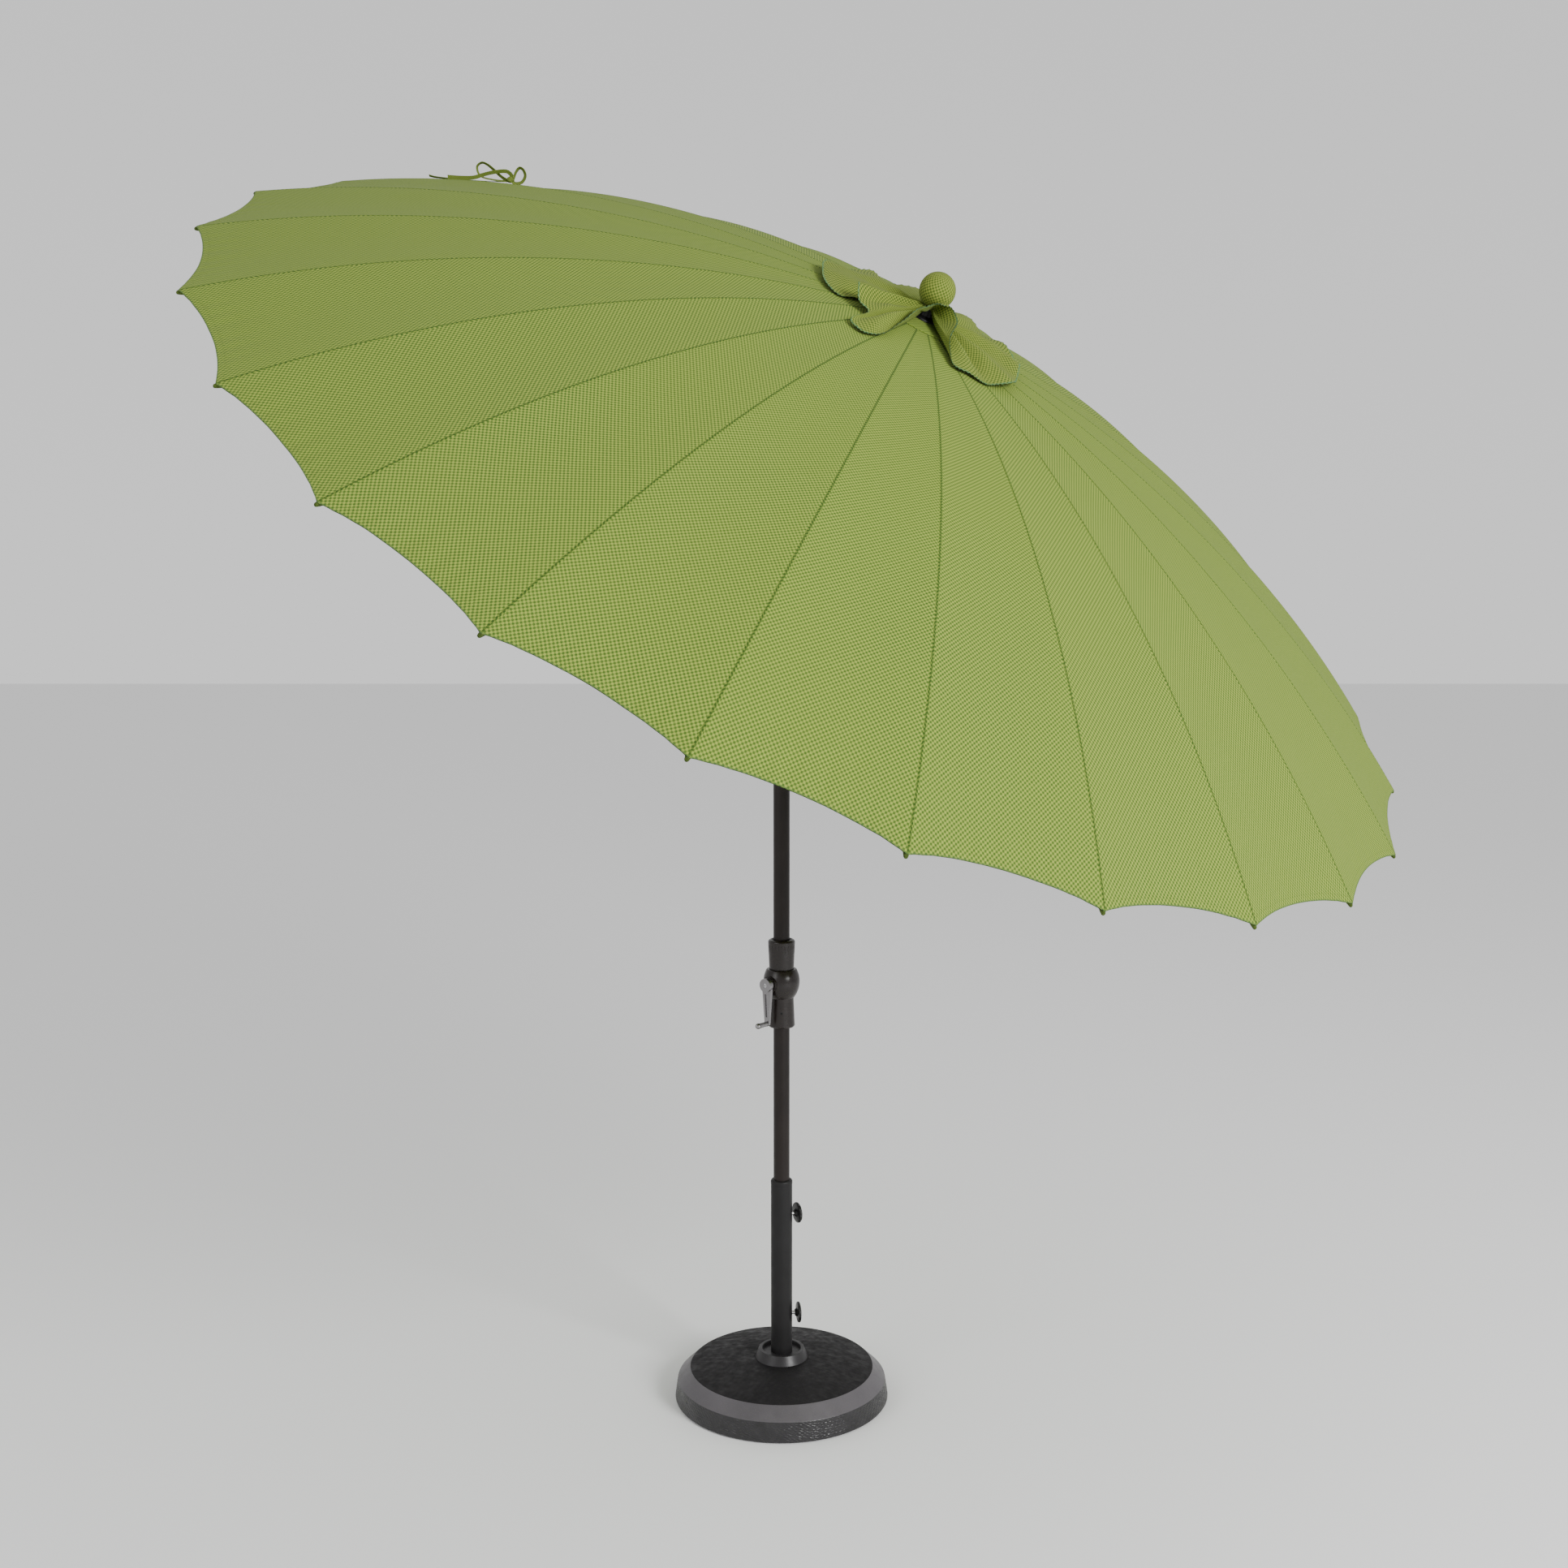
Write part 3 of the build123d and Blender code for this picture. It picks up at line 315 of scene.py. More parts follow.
def cloth_material(name, period=CHECK, light=LIGHT_THREAD, dark=DARK_THREAD, seam=False, fray=False):
    s = Shader(name)
    u, v = s.uv("weave")
    wave_u = s.math("SINE", s.math("MULTIPLY", u, 2 * math.pi / period))
    wave_v = s.math("SINE", s.math("MULTIPLY", v, 2 * math.pi / period))
    check = s.grey(s.math("MULTIPLY", wave_u, wave_v), 0.0, 1.0, -0.62, 0.62)
    fine_u = s.math("ABSOLUTE", s.math("SINE", s.math("MULTIPLY", u, 4 * math.pi / period)))
    fine_v = s.math("ABSOLUTE", s.math("SINE", s.math("MULTIPLY", v, 4 * math.pi / period)))
    threads = s.math("MULTIPLY", fine_u, fine_v)
    spot = s.object_space()
    fade = s.noise(spot, 1.6, 4.0)
    slub = s.noise(spot, 420.0, 2.0)
    colour = s.mix(check, dark, light)
    colour = s.mix(s.grey(threads, 0.35, 0.0, 0.0, 0.35), colour, (0.050, 0.088, 0.010))
    colour = s.mix(s.grey(fade, 0.0, 0.22, 0.35, 0.75), colour, (0.160, 0.225, 0.030))
    colour = s.mix(s.grey(slub, 0.0, 0.20, 0.45, 0.8), colour, (0.34, 0.40, 0.09))
    height = s.math("ADD", s.math("MULTIPLY", threads, 0.7), s.math("MULTIPLY", check, 0.5))
    if seam:
        off, hem = s.uv("edge")
        line = s.grey(off, 1.0, 0.0, 0.0011, 0.0026)
        dash = s.grey(s.math("SINE", s.math("MULTIPLY", v, 2 * math.pi / STITCH_STEP)), 0.55, 1.0, -0.2, 0.3)
        colour = s.mix(s.math("MULTIPLY", line, s.math("MULTIPLY", dash, 0.9)), colour, DEEP_THREAD)
        rim = s.grey(hem, 0.6, 0.0, 0.0010, 0.0030)
        colour = s.mix(rim, colour, (0.045, 0.10, 0.035))
        stitch = s.grey(s.math("ABSOLUTE", s.math("SUBTRACT", hem, HEM_STITCH)), 0.10, 0.0, 0.0005, 0.0013)
        colour = s.mix(stitch, colour, DEEP_THREAD)
        height = s.math("SUBTRACT", height, s.math("MULTIPLY", stitch, 1.2))
    if fray:
        hem = s.uv("edge")[1]
        rim = s.grey(hem, 0.9, 0.0, 0.0012, 0.0048)
        worn = s.grey(s.noise(spot, 160.0, 3.0), 0.2, 1.0, 0.3, 0.6)
        colour = s.mix(s.math("MULTIPLY", rim, worn), colour, (0.075, 0.19, 0.09))
    normal = s.bump(height, 0.55, 0.0006)
    normal = s.bump(s.noise(spot, 60.0, 3.0), 0.12, 0.0015, normal)
    rough = s.grey(slub, 0.78, 0.94)
    return s.finish(colour, rough, normal, Sheen_Weight=0.03, Sheen_Roughness=0.5, Specular_IOR_Level=0.08)


def coated(name, base, other, rough=(0.34, 0.5), metallic=0.0, grain=260.0, grain_depth=0.0002,
           blotch=9.0, coat=0.0, specular=0.5, strength=0.25):
    """Painted, moulded or cast surfaces: two close tones, uneven gloss and a fine grain."""
    s = Shader(name)
    spot = s.object_space()
    tone = s.noise(spot, blotch, 5.0)
    speck = s.noise(spot, grain * 1.7, 2.0)
    colour = s.mix(s.grey(tone, 0.0, 1.0, 0.3, 0.7), base, other)
    bright = tuple(min(1, c * 1.9 + 0.01) for c in other)
    colour = s.mix(s.grey(speck, 0.0, 0.25, 0.55, 0.85), colour, bright)
    gloss = s.grey(s.noise(spot, blotch * 5, 4.0), rough[0], rough[1], 0.3, 0.7)
    normal = s.bump(s.noise(spot, grain, 4.0, 0.6), strength, grain_depth)
    return s.finish(colour, gloss, normal, Metallic=metallic, Coat_Weight=coat, Specular_IOR_Level=specular)


def brushed(name, base, other):
    """Bare metal with fine lines along z."""
    s = Shader(name)
    spot = s.object_space()
    stretched = s.add("ShaderNodeMapping", Vector=spot, Scale=(30.0, 30.0, 900.0)).outputs[0]
    lines = s.noise(stretched, 1.0, 3.0)
    colour = s.mix(s.grey(lines, 0.0, 1.0, 0.3, 0.7), base, other)
    normal = s.bump(lines, 0.12, 0.0001)
    return s.finish(colour, s.grey(lines, 0.28, 0.42, 0.3, 0.7), normal, Metallic=1.0)


cloth = cloth_material("canopy_weave", seam=True)
frill_cloth = cloth_material("frill_weave", light=(0.25, 0.30, 0.048), dark=(0.032, 0.076, 0.010), fray=True)
ball_cloth = cloth_material("ball_weave", light=(0.25, 0.29, 0.05), dark=(0.050, 0.095, 0.012))
tie_cloth = cloth_material("tie_weave", period=0.0052, light=(0.25, 0.29, 0.05), dark=(0.030, 0.080, 0.016))
# the rib-end pockets' cloth: near-black, painted shade standing in for the shadow at the rib tips
pocket_cloth_painted_shade = cloth_material("pocket_weave_painted_shade", light=(0.045, 0.075, 0.014), dark=(0.015, 0.030, 0.006))
bronze = coated("bronze_enamel", (0.0105, 0.0075, 0.0066), (0.0165, 0.0120, 0.0105), (0.36, 0.48),
                grain=420.0, specular=0.20)
bronze_mould = coated("bronze_moulded", (0.0105, 0.0074, 0.0064), (0.0165, 0.0118, 0.0102), (0.22, 0.34),
                      grain=650.0, grain_depth=0.00012, specular=0.34)
charcoal = coated("charcoal_enamel", (0.0088, 0.0084, 0.0088), (0.014, 0.0134, 0.0138), (0.44, 0.56),
                  grain=520.0, specular=0.20)
black_mould = coated("black_moulded", (0.007, 0.007, 0.007), (0.014, 0.0135, 0.013), (0.30, 0.44),
                     grain=900.0, grain_depth=0.0001, specular=0.35)
rib_finish = coated("rib_lacquer", (0.010, 0.009, 0.0085), (0.019, 0.0165, 0.0145), (0.24, 0.36),
                    grain=700.0, grain_depth=0.00008, specular=0.4)
rubber = coated("pad_rubber", (0.010, 0.010, 0.010), (0.018, 0.018, 0.017), (0.7, 0.88), grain=500.0)
iron = coated("cast_weight", (0.05, 0.047, 0.044), (0.09, 0.08, 0.07), (0.6, 0.8), metallic=0.6, grain=180.0,
              grain_depth=0.0008)
ring_satin = coated("ring_satin", (0.013, 0.0120, 0.013), (0.021, 0.0195, 0.021), (0.34, 0.46),
                    grain=300.0, specular=0.35)
bevel_satin = coated("bevel_satin", (0.066, 0.061, 0.067), (0.092, 0.085, 0.093), (0.36, 0.48), grain=240.0,
                     grain_depth=0.00015, specular=0.45)
wall_pebble = coated("wall_pebbled", (0.0080, 0.0072, 0.0082), (0.018, 0.0165, 0.0185), (0.26, 0.40),
                     grain=330.0, grain_depth=0.0005, blotch=40.0, specular=0.5, strength=0.6)
top_matt = coated("top_matt", (0.0070, 0.0064, 0.0070), (0.0125, 0.0112, 0.0122), (0.46, 0.78),
                  grain=210.0, grain_depth=0.0004, blotch=11.0, specular=0.22, strength=0.45)
zinc = brushed("zinc_plate", (0.42, 0.42, 0.43), (0.62, 0.62, 0.61))
silver = coated("silver_lacquer", (0.20, 0.192, 0.196), (0.30, 0.29, 0.295), (0.24, 0.34),
                metallic=0.95, grain=800.0, grain_depth=0.00008, coat=0.2)

by_slot = {
    "base_rubber": rubber,
    "base_shell_finish": bronze,
    "ballast": iron,
    "dark_metal": bronze,
    "dark_plastic": bronze_mould,
    "bush_plastic": black_mould,
    "zinc": zinc,
    "knob_plastic": black_mould,
    "crank_silver": silver,
    "stretcher_metal": rib_finish,
    "rib_fibreglass": rib_finish,
    "canopy_cloth": cloth,
}
for row in frame["record"]["subparts"]:
    data = nodes[row["node"]].data
    data.materials.clear()
    data.materials.append(by_slot[row["material_slot"]])

for node, finish in (("base_stem", charcoal), ("stem_collar", ring_satin), ("housing_screw", black_mould),
                     ("stem_bushing", charcoal)):
    nodes[node].data.materials[0] = finish

# ---- canopy: 24 sections, one on each rib, that meet along the middle of each gore at rest ----
SIDE_COLS = 10
share = np.linspace(0, 1, SIDE_COLS + 1) ** 1.15
side = np.concatenate([-share[::-1], share[1:]])
hem_steps = np.array([0.0, 0.0015, 0.0035, 0.008, 0.0130, 0.0150, 0.0220, 0.0340, 0.0500, 0.0750])
inner_steps = np.linspace(1, 0, 52)
SECTION_IN = 0.075
HEM_FOLD = 0.0140  # the hem is turned over this deep, so it is thicker and stands up a little
HEM_THICK = 0.0022
HEM_RAISE = 0.0006
TAPE_ACROSS = np.array([-0.0030, -0.0022, -0.0010, 0.0, 0.0010, 0.0022, 0.0030])
TAPE_RAISE = np.array([-0.0004, 0.0003, 0.0005, 0.0002, 0.0005, 0.0003, -0.0004])
TAPE_THICK = 0.0008
TAPE_DROOP = 0.10
# the pocket's rings: metres past the tip radius, then radius and drop under the cloth in millimetres
POCKET_RINGS = [(-0.030, 3.0, 7.8), (-0.0275, 5.6, 7.7), (-0.021, 6.1, 7.5), (-0.0125, 6.0, 7.2),
                (-0.0060, 5.0, 6.2), (-0.0010, 4.2, 5.0), (0.0012, 3.4, 4.2), (0.0024, 1.7, 3.6)]
POCKET_ROUND = 16


def section_grid(n):
    """Plan radius, mast angle and hem radius of section n, from the hem inwards."""
    angle = n * PITCH + side * HALF
    hem = hem_radius(np.abs(np.abs(side) * HALF - HALF))
    rows = [hem - d for d in hem_steps]
    last = rows[-1]
    rows += [SECTION_IN + (last - SECTION_IN) * w for w in inner_steps[1:]]
    r = np.array(rows)
    return r, np.broadcast_to(angle, r.shape), np.broadcast_to(hem, r.shape)


def cloth_points(r, a):
    return place(r * np.cos(a), r * np.sin(a), cloth_level(r, a))


def cloth_normals(r, a):
    e = 0.0008
    du = cloth_points(r + e, a) - cloth_points(r - e, a)
    dv = cloth_points(r, a + e) - cloth_points(r, a - e)
    out = np.cross(du, dv)
    out /= np.linalg.norm(out, axis=-1, keepdims=True)
    return np.where((out @ mast_z)[..., None] < 0, -out, out)


def gore_uv(r, a, middle):
    return np.stack([r * np.sin(a - middle), r * np.cos(a - middle)], -1)


for n in range(RIBS):
    name = f"{n + 1:02d}"
    body = f"rib_{name}_arm"
    r, a, hem = section_grid(n)
    p = cloth_points(r, a)
    normal = cloth_normals(r, a)
    depth = hem - r
    thick = np.where(depth < HEM_FOLD, HEM_THICK, SKIN)
    p = p + normal * np.where(depth < HEM_FOLD, HEM_RAISE, 0.0)[..., None]
    off = np.abs(r * np.sin(a - n * PITCH))
    edge = np.stack([off, depth], -1)
    left = gore_uv(r, a, (n - 0.5) * PITCH)
    right = gore_uv(r, a, (n + 0.5) * PITCH)
    panel = slab(f"canopy_section_{name}", p, thick, {"weave": left, "edge": edge},
                 normals=normal, uv_right={"weave": right})
    panel.data.materials.append(cloth)

    # seam tape over the rib
    line = np.linspace(TIP_R - 0.003, SECTION_IN + 0.01, 70)
    rr = np.broadcast_to(line[:, None], (len(line), len(TAPE_ACROSS)))
    base = cloth_points(rr, np.full_like(rr, n * PITCH))
    sideways = -math.sin(n * PITCH) * mast_x + math.cos(n * PITCH) * mast_y
    tape_p = base + TAPE_ACROSS[None, :, None] * sideways
    droop = np.abs(TAPE_ACROSS) * TAPE_DROOP
    tape_p = tape_p + (TAPE_RAISE - droop)[None, :, None] * mast_z
    tape_uv = np.stack([np.broadcast_to(TAPE_ACROSS, rr.shape), rr], -1)
    tape = slab(f"canopy_seam_{name}", tape_p, np.full(rr.shape, TAPE_THICK),
                {"weave": tape_uv, "edge": np.stack([np.abs(tape_uv[..., 0]), rr * 0 + 0.05], -1)})
    tape.data.materials.append(cloth)

    # pocket at the rib's end, in cloth painted near-black for the shade at the rib tip
    around = np.linspace(0, 2 * math.pi, POCKET_ROUND + 1)[:-1]
    rings = []
    for step, wide, low in POCKET_RINGS:
        radius = TIP_R + step
        level = dome(np.minimum(radius, TIP_R)) - max(0, radius - TIP_R) * 0.6 - low / 1000
        rings.append(place(
            radius * math.cos(n * PITCH) - np.cos(around) * wide / 1000 * math.sin(n * PITCH),
            radius * math.sin(n * PITCH) + np.cos(around) * wide / 1000 * math.cos(n * PITCH),
            level + np.sin(around) * wide / 1000,
        ))
    rings = np.array(rings)
    quads = grid_quads(len(POCKET_RINGS), POCKET_ROUND, 0, True, wrap=True)
    steps = np.array([ring[0] for ring in POCKET_RINGS])
    flat = np.stack(np.broadcast_arrays((around * 0.011)[None, :], steps[:, None]), -1).reshape(-1, 2)
    pocket = mesh_from(f"rib_pocket_{name}", rings, quads,
                       {"weave": flat[quads], "edge": np.stack([np.full(quads.shape, 0.02)] * 2, -1)})
    edit_mesh(pocket, lambda bm: bmesh.ops.holes_fill(bm, edges=[e for e in bm.edges if e.is_boundary]))
    pocket.data.materials.append(pocket_cloth_painted_shade)
    for piece in (panel, tape, pocket):
        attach(piece, body)
    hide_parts("canopy")
    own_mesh(panel)
    wide, long = 2 * TIP_R * math.sin(HALF), chord

# crown disc under the frill
ring_r = np.linspace(CROWN_R, 0.0125, 12)
ring_a = np.linspace(0, 2 * math.pi, 97)
rr, aa = np.meshgrid(ring_r, ring_a, indexing="ij")
crown_p = place(rr * np.cos(aa), rr * np.sin(aa), dome(rr) + 0.0009)
crown = slab("canopy_crown", crown_p, np.full(rr.shape, SKIN),
             {"weave": np.stack([rr * np.cos(aa), rr * np.sin(aa)], -1),
              "edge": np.full((*rr.shape, 2), 0.05)},
             sides=False)
weld(crown)
crown.data.materials.append(cloth)
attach(crown, "mast")

# ---- frill round the top: one gathered cloth under the ball, in eight pieces ----
# Hem of the frill: mast angle in degrees, radius and height over the canopy in metres. The angles and
# radii of the first 21 rows were worked out by another program from points read off the photo; the
# heights and the last 14 rows were chosen. The message allows no such table, see report.md.
HEM = [
    (297.4, 0.2554, 0.006),
    (291.4, 0.24, 0.008),
    (281.8, 0.2277, 0.01),
    (280.9, 0.1977, 0.014),
    (281.7, 0.1542, 0.03),
    (299.6, 0.0965, 0.046),
    (296.0, 0.0641, 0.052),
    (267.2, 0.0603, 0.048),
    (245.6, 0.0976, 0.038),
    (243.0, 0.1626, 0.022),
    (242.0, 0.2427, 0.01),
    (237.3, 0.2827, 0.008),
    (230.2, 0.2833, 0.008),
    (227.6, 0.2694, 0.014),
    (223.7, 0.2004, 0.014),
    (213.3, 0.1998, 0.02),
    (203.1, 0.1912, 0.044),
    (197.6, 0.1673, 0.006),
    (199.0, 0.2114, 0.006),
    (185.2, 0.2284, 0.008),
    (167.0, 0.2371, 0.014),
    (150, 0.252, 0.02),
    (133, 0.236, 0.008),
    (118, 0.226, 0.022),
    (102, 0.244, 0.007),
    (86, 0.232, 0.022),
    (70, 0.222, 0.008),
    (54, 0.244, 0.02),
    (38, 0.236, 0.007),
    (20, 0.224, 0.024),
    (4, 0.24, 0.009),
    (347, 0.228, 0.026),
    (330, 0.242, 0.012),
    (314, 0.262, 0.022),
    (303, 0.258, 0.01),
]
NECK_R = 0.0135
FRILL_ALONG = 40
FRILL_ROUND = 480
FRILL_THICK = 0.0010
FRILL_PARTS = 8


def smooth_line(points, count, closed=False):
    """Catmull-Rom through the points."""
    pts = np.array(points, float)
    n = len(pts)
    at = np.linspace(0, n if closed else n - 1, count, endpoint=not closed)
    out = []
    for t in at:
        i = min(int(t), n - 1 if closed else n - 2)
        f = t - i
        if closed:
            p0, p1, p2, p3 = (pts[(i + d) % n] for d in (-1, 0, 1, 2))
        else:
            p0, p1, p2, p3 = (pts[min(max(i + d, 0), n - 1)] for d in (-1, 0, 1, 2))
        out.append(0.5 * (2 * p1 + (p2 - p0) * f + (2 * p0 - 5 * p1 + 4 * p2 - p3) * f**2
                          + (3 * p1 - p0 - 3 * p2 + p3) * f**3))
    return np.array(out)


hem_pts = np.array([(r * math.cos(math.radians(a)), r * math.sin(math.radians(a)), c) for a, r, c in HEM])
hem_xyz = smooth_line(hem_pts, FRILL_ROUND, closed=True)
hem_r = np.hypot(hem_xyz[:, 0], hem_xyz[:, 1])
hem_a = np.unwrap(np.arctan2(hem_xyz[:, 1], hem_xyz[:, 0]))
hem_c = np.maximum(hem_xyz[:, 2], 0.004)
steady = hem_a[0] + -2 * math.pi * np.arange(FRILL_ROUND) / FRILL_ROUND
drift = hem_a - steady
window = 41
padded_drift = np.concatenate([drift[-window:], drift, drift[:window]])
neck_a = steady + np.convolve(padded_drift, np.ones(window) / window, mode="same")[window:-window]
t = np.linspace(0, 1, FRILL_ALONG)[:, None]
r = NECK_R + (hem_r - NECK_R) * t
turned = t**1.2 * (1.6 - 0.6 * t)
a = neck_a + (hem_a - neck_a) * turned
order = np.arange(FRILL_ROUND)
pleat = np.sin(2 * math.pi * order * 26 / FRILL_ROUND + 0.8 * np.sin(2 * math.pi * order * 5 / FRILL_ROUND))
belly = 0.010 + 0.005 * np.sin(2 * math.pi * order * 7 / FRILL_ROUND)
neck = 0.024 * np.exp(-((r - NECK_R) / 0.040) ** 1.3)
clear = (0.003 + neck + (hem_c - 0.003) * t**1.6 + belly * np.sin(math.pi * t**0.9)
         + 0.0026 * pleat * np.exp(-((r - NECK_R) / 0.075) ** 2)
         + 0.0075 * np.sin(2 * math.pi * order * 13 / FRILL_ROUND) * np.sin(math.pi * t)
         + 0.0013 * ripple(r * np.cos(a), r * np.sin(a), 0.05, 12))
clear = np.maximum(clear, 0.0035)
frill_p = place(r * np.cos(a), r * np.sin(a), dome(np.minimum(r, 1.0)) + clear)
around_n = np.cross(np.gradient(frill_p, axis=0),
                    (np.roll(frill_p, -1, axis=1) - np.roll(frill_p, 1, axis=1)) / 2)
frill_n = around_n / np.maximum(np.linalg.norm(around_n, axis=-1, keepdims=True), 1e-12)
if (frill_n @ mast_z).mean() < 0:
    frill_n = -frill_n
run = np.concatenate([[0], np.cumsum(np.linalg.norm(np.diff(frill_p[FRILL_ALONG * 2 // 3], axis=0), axis=1))])
fringe = 0.0012 * np.sin(order * 2.1) * (np.arange(FRILL_ALONG)[:, None] == FRILL_ALONG - 1)
frill_p = frill_p + frill_n * fringe[..., None]
hem_d = (hem_r - NECK_R) * (1 - t)
frill_uv = np.stack(np.broadcast_arrays(run[None, :], r), -1)
frill_edge = np.stack([hem_d, hem_d], -1)
per = FRILL_ROUND // FRILL_PARTS
for k in range(FRILL_PARTS):
    pick = (np.arange(per + 1) + k * per) % FRILL_ROUND
    part = frill_p[:, pick]
    uv = frill_uv[:, pick].copy()
    if k == FRILL_PARTS - 1:
        uv[:, -1, 0] = uv[:, -2, 0] + 0.003
    petal = slab(f"frill_part_{k + 1}", part, np.full(part.shape[:2], FRILL_THICK),
                 {"weave": uv, "edge": frill_edge[:, pick]}, normals=frill_n[:, pick])
    petal.data.materials.append(frill_cloth)
    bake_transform(petal)
    if k == 0:
        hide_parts("flounce")
    long = float(hem_r[pick].max()) + 0.02

# ---- ball covered in cloth ----
BALL_CHECK = 0.0078
lat = np.linspace(0, math.pi, 61)
lon = np.linspace(0, 2 * math.pi, 97)[:-1]
tt, oo = np.meshgrid(lat, lon, indexing="ij")
gather = np.exp(-((math.pi - tt) / 0.55) ** 2)
rad = BALL_R * (1 + 0.028 * gather * np.sin(13 * oo) + 0.004 * ripple(tt, oo, 1.6, 8))
bx = rad * np.sin(tt) * np.cos(oo)
by = rad * np.sin(tt) * np.sin(oo)
bz = BALL_LEVEL + BALL_R * np.cos(tt) * (1 + 0.02 * gather)
ball_p = place(bx, by, bz)
quads = grid_quads(len(lat), len(lon), 0, True, wrap=True)
cols = len(lon)
uv_u = (quads % cols).astype(float)
uv_u[:, 1:3] = np.where(uv_u[:, 1:3] < uv_u[:, 0:1], cols, uv_u[:, 1:3])
uv_v = (quads // cols) * (math.pi / (len(lat) - 1)) * BALL_R
wrap_count = round(2 * math.pi * BALL_R / BALL_CHECK)
ball_uv = np.stack([uv_u / cols * wrap_count * BALL_CHECK, uv_v], -1)
ball = mesh_from("finial_cover", ball_p, quads, {"weave": ball_uv})
weld(ball)
ball.data.materials.append(ball_cloth)
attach(ball, "mast")
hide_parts("finial_ball")

# ---- closing tie in a bow ----
BOW_R = 1.100
BOW_ANGLE = math.radians(154.0 - 8.98)
BOW_SHIFT = (0.030, 0.016, 0.003)  # sideways, forwards and down from that spot
bow_out = math.cos(BOW_ANGLE) * mast_x + math.sin(BOW_ANGLE) * mast_y
bow_slope = math.asin((BOW_R - dome_x) / dome_r)
bow_up = bow_out * math.sin(bow_slope) + mast_z * math.cos(bow_slope)
to_camera = np.array([0.0, -1.0, 0.0])
bow_front = to_camera - bow_up * (bow_up @ to_camera)
bow_front /= np.linalg.norm(bow_front)
bow_side = np.cross(bow_up, bow_front)
if bow_side[0] < 0:
    bow_side = -bow_side
bow_spot = (pivot + bow_out * BOW_R + mast_z * dome(BOW_R)
            + bow_side * BOW_SHIFT[0] + bow_front * BOW_SHIFT[1] - bow_up * BOW_SHIFT[2])


# the tape's section: across its width in halves, and which face
RIBBON_WIDE = (-1, -0.5, 0, 0.5, 1, 1, 0.5, 0, -0.5, -1)
RIBBON_FACE = (-1, -1, -1, -1, -1, 1, 1, 1, 1, 1)
RIBBON_THICK = 0.0010


def ribbon(line, width, tilt):
    """Verts and quads of a flat tape along a line of (side, up, front) offsets in metres."""
    p = bow_spot + line[:, 0:1] * bow_side + line[:, 1:2] * bow_up + line[:, 2:3] * bow_front
    run = np.gradient(p, axis=0)
    run /= np.linalg.norm(run, axis=1, keepdims=True)
    flatwise = np.cross(run, bow_front)
    flatwise /= np.maximum(np.linalg.norm(flatwise, axis=1, keepdims=True), 1e-9)
    w = bow_front * np.cos(tilt)[:, None] + flatwise * np.sin(tilt)[:, None]
    t = np.cross(run, w)
    corners = [p + w * sw * width / 2 + t * st * RIBBON_THICK / 2 for sw, st in zip(RIBBON_WIDE, RIBBON_FACE)]
    verts = np.stack(corners, 1)
    quads = grid_quads(len(p), len(corners), 0, False, wrap=True)
    length = np.concatenate([[0], np.cumsum(np.linalg.norm(np.diff(p, axis=0), axis=1))])
    u = np.array(RIBBON_WIDE) * width / 2
    flat = np.stack(np.broadcast_arrays(u[None, :], length[:, None]), -1).reshape(-1, 2)
    last = (len(p) - 1) * len(corners)
    caps = [list(range(len(corners) - 1, -1, -1)), [last + i for i in range(len(corners))]]
    return verts, quads, flat, caps, float(length[-1])


TIE_W = 0.0100
# Two loops and two tails: points as side, up and front in millimetres. They were chosen, then
# scaled by 0.95 sideways and 0.87 upwards by another program.
bow_lines = [
    [(1.9, 7, 4), (11.4, 1.7, 7), (26.6, 5.2, 9), (34.2, 19.1, 8), (29.4, 32.2, 6), (19.9, 36.5, 4),
     (11.4, 26.1, 3), (6.6, 12.2, 3), (2.8, 7, 2)],
    [(-2.8, 5.2, 3), (-19.9, 13.1, 5), (-39.9, 28.7, 7), (-55.1, 39.1, 8), (-68.4, 41.8, 7),
     (-78.8, 31.3, 5), (-70.3, 12.2, 3), (-39.9, 6.1, 2), (-7.6, 5.2, 2)],
    [(0.9, 7.8, 6), (2.8, 16.5, 8), (-1.9, 23.5, 10), (-13.3, 27, 12), (-39.9, 22.6, 15),
     (-61.8, 15.7, 20), (-83.6, 7.8, 27), (-112.1, 5.2, 36), (-139.7, 4.8, 44)],
    [(0, 5.2, -2), (-38, 2.6, -5), (-85.5, 1.7, -9), (-133, 1.7, -11), (-176.7, 2.6, -12),
     (-193.8, 5.2, -12)],
]
BOW_TILTS = (32, 28, 62, 12)
all_v, all_q, all_uv, all_caps, total, shift = [], [], [], [], 0.0, 0
for k, points in enumerate(bow_lines):
    line = smooth_line(np.array(points) / 1000, 60)
    tilt = np.radians(BOW_TILTS[k] + 14 * np.sin(np.linspace(0, 5, 60) + k))
    v, q, flat, caps, length = ribbon(line, TIE_W, tilt)
    all_v.append(v.reshape(-1, 3))
    all_q.append(q + shift)
    all_uv.append(flat[q])
    all_caps += [[i + shift for i in cap] for cap in caps]
    shift += v.shape[0] * v.shape[1]
    total += length
tie = mesh_from("tie_ribbon", np.concatenate(all_v), np.concatenate(all_q),
                {"weave": np.concatenate(all_uv)})


def close_ends(bm):
    bm.verts.ensure_lookup_table()
    for cap in all_caps:
        bm.faces.new([bm.verts[i] for i in cap])


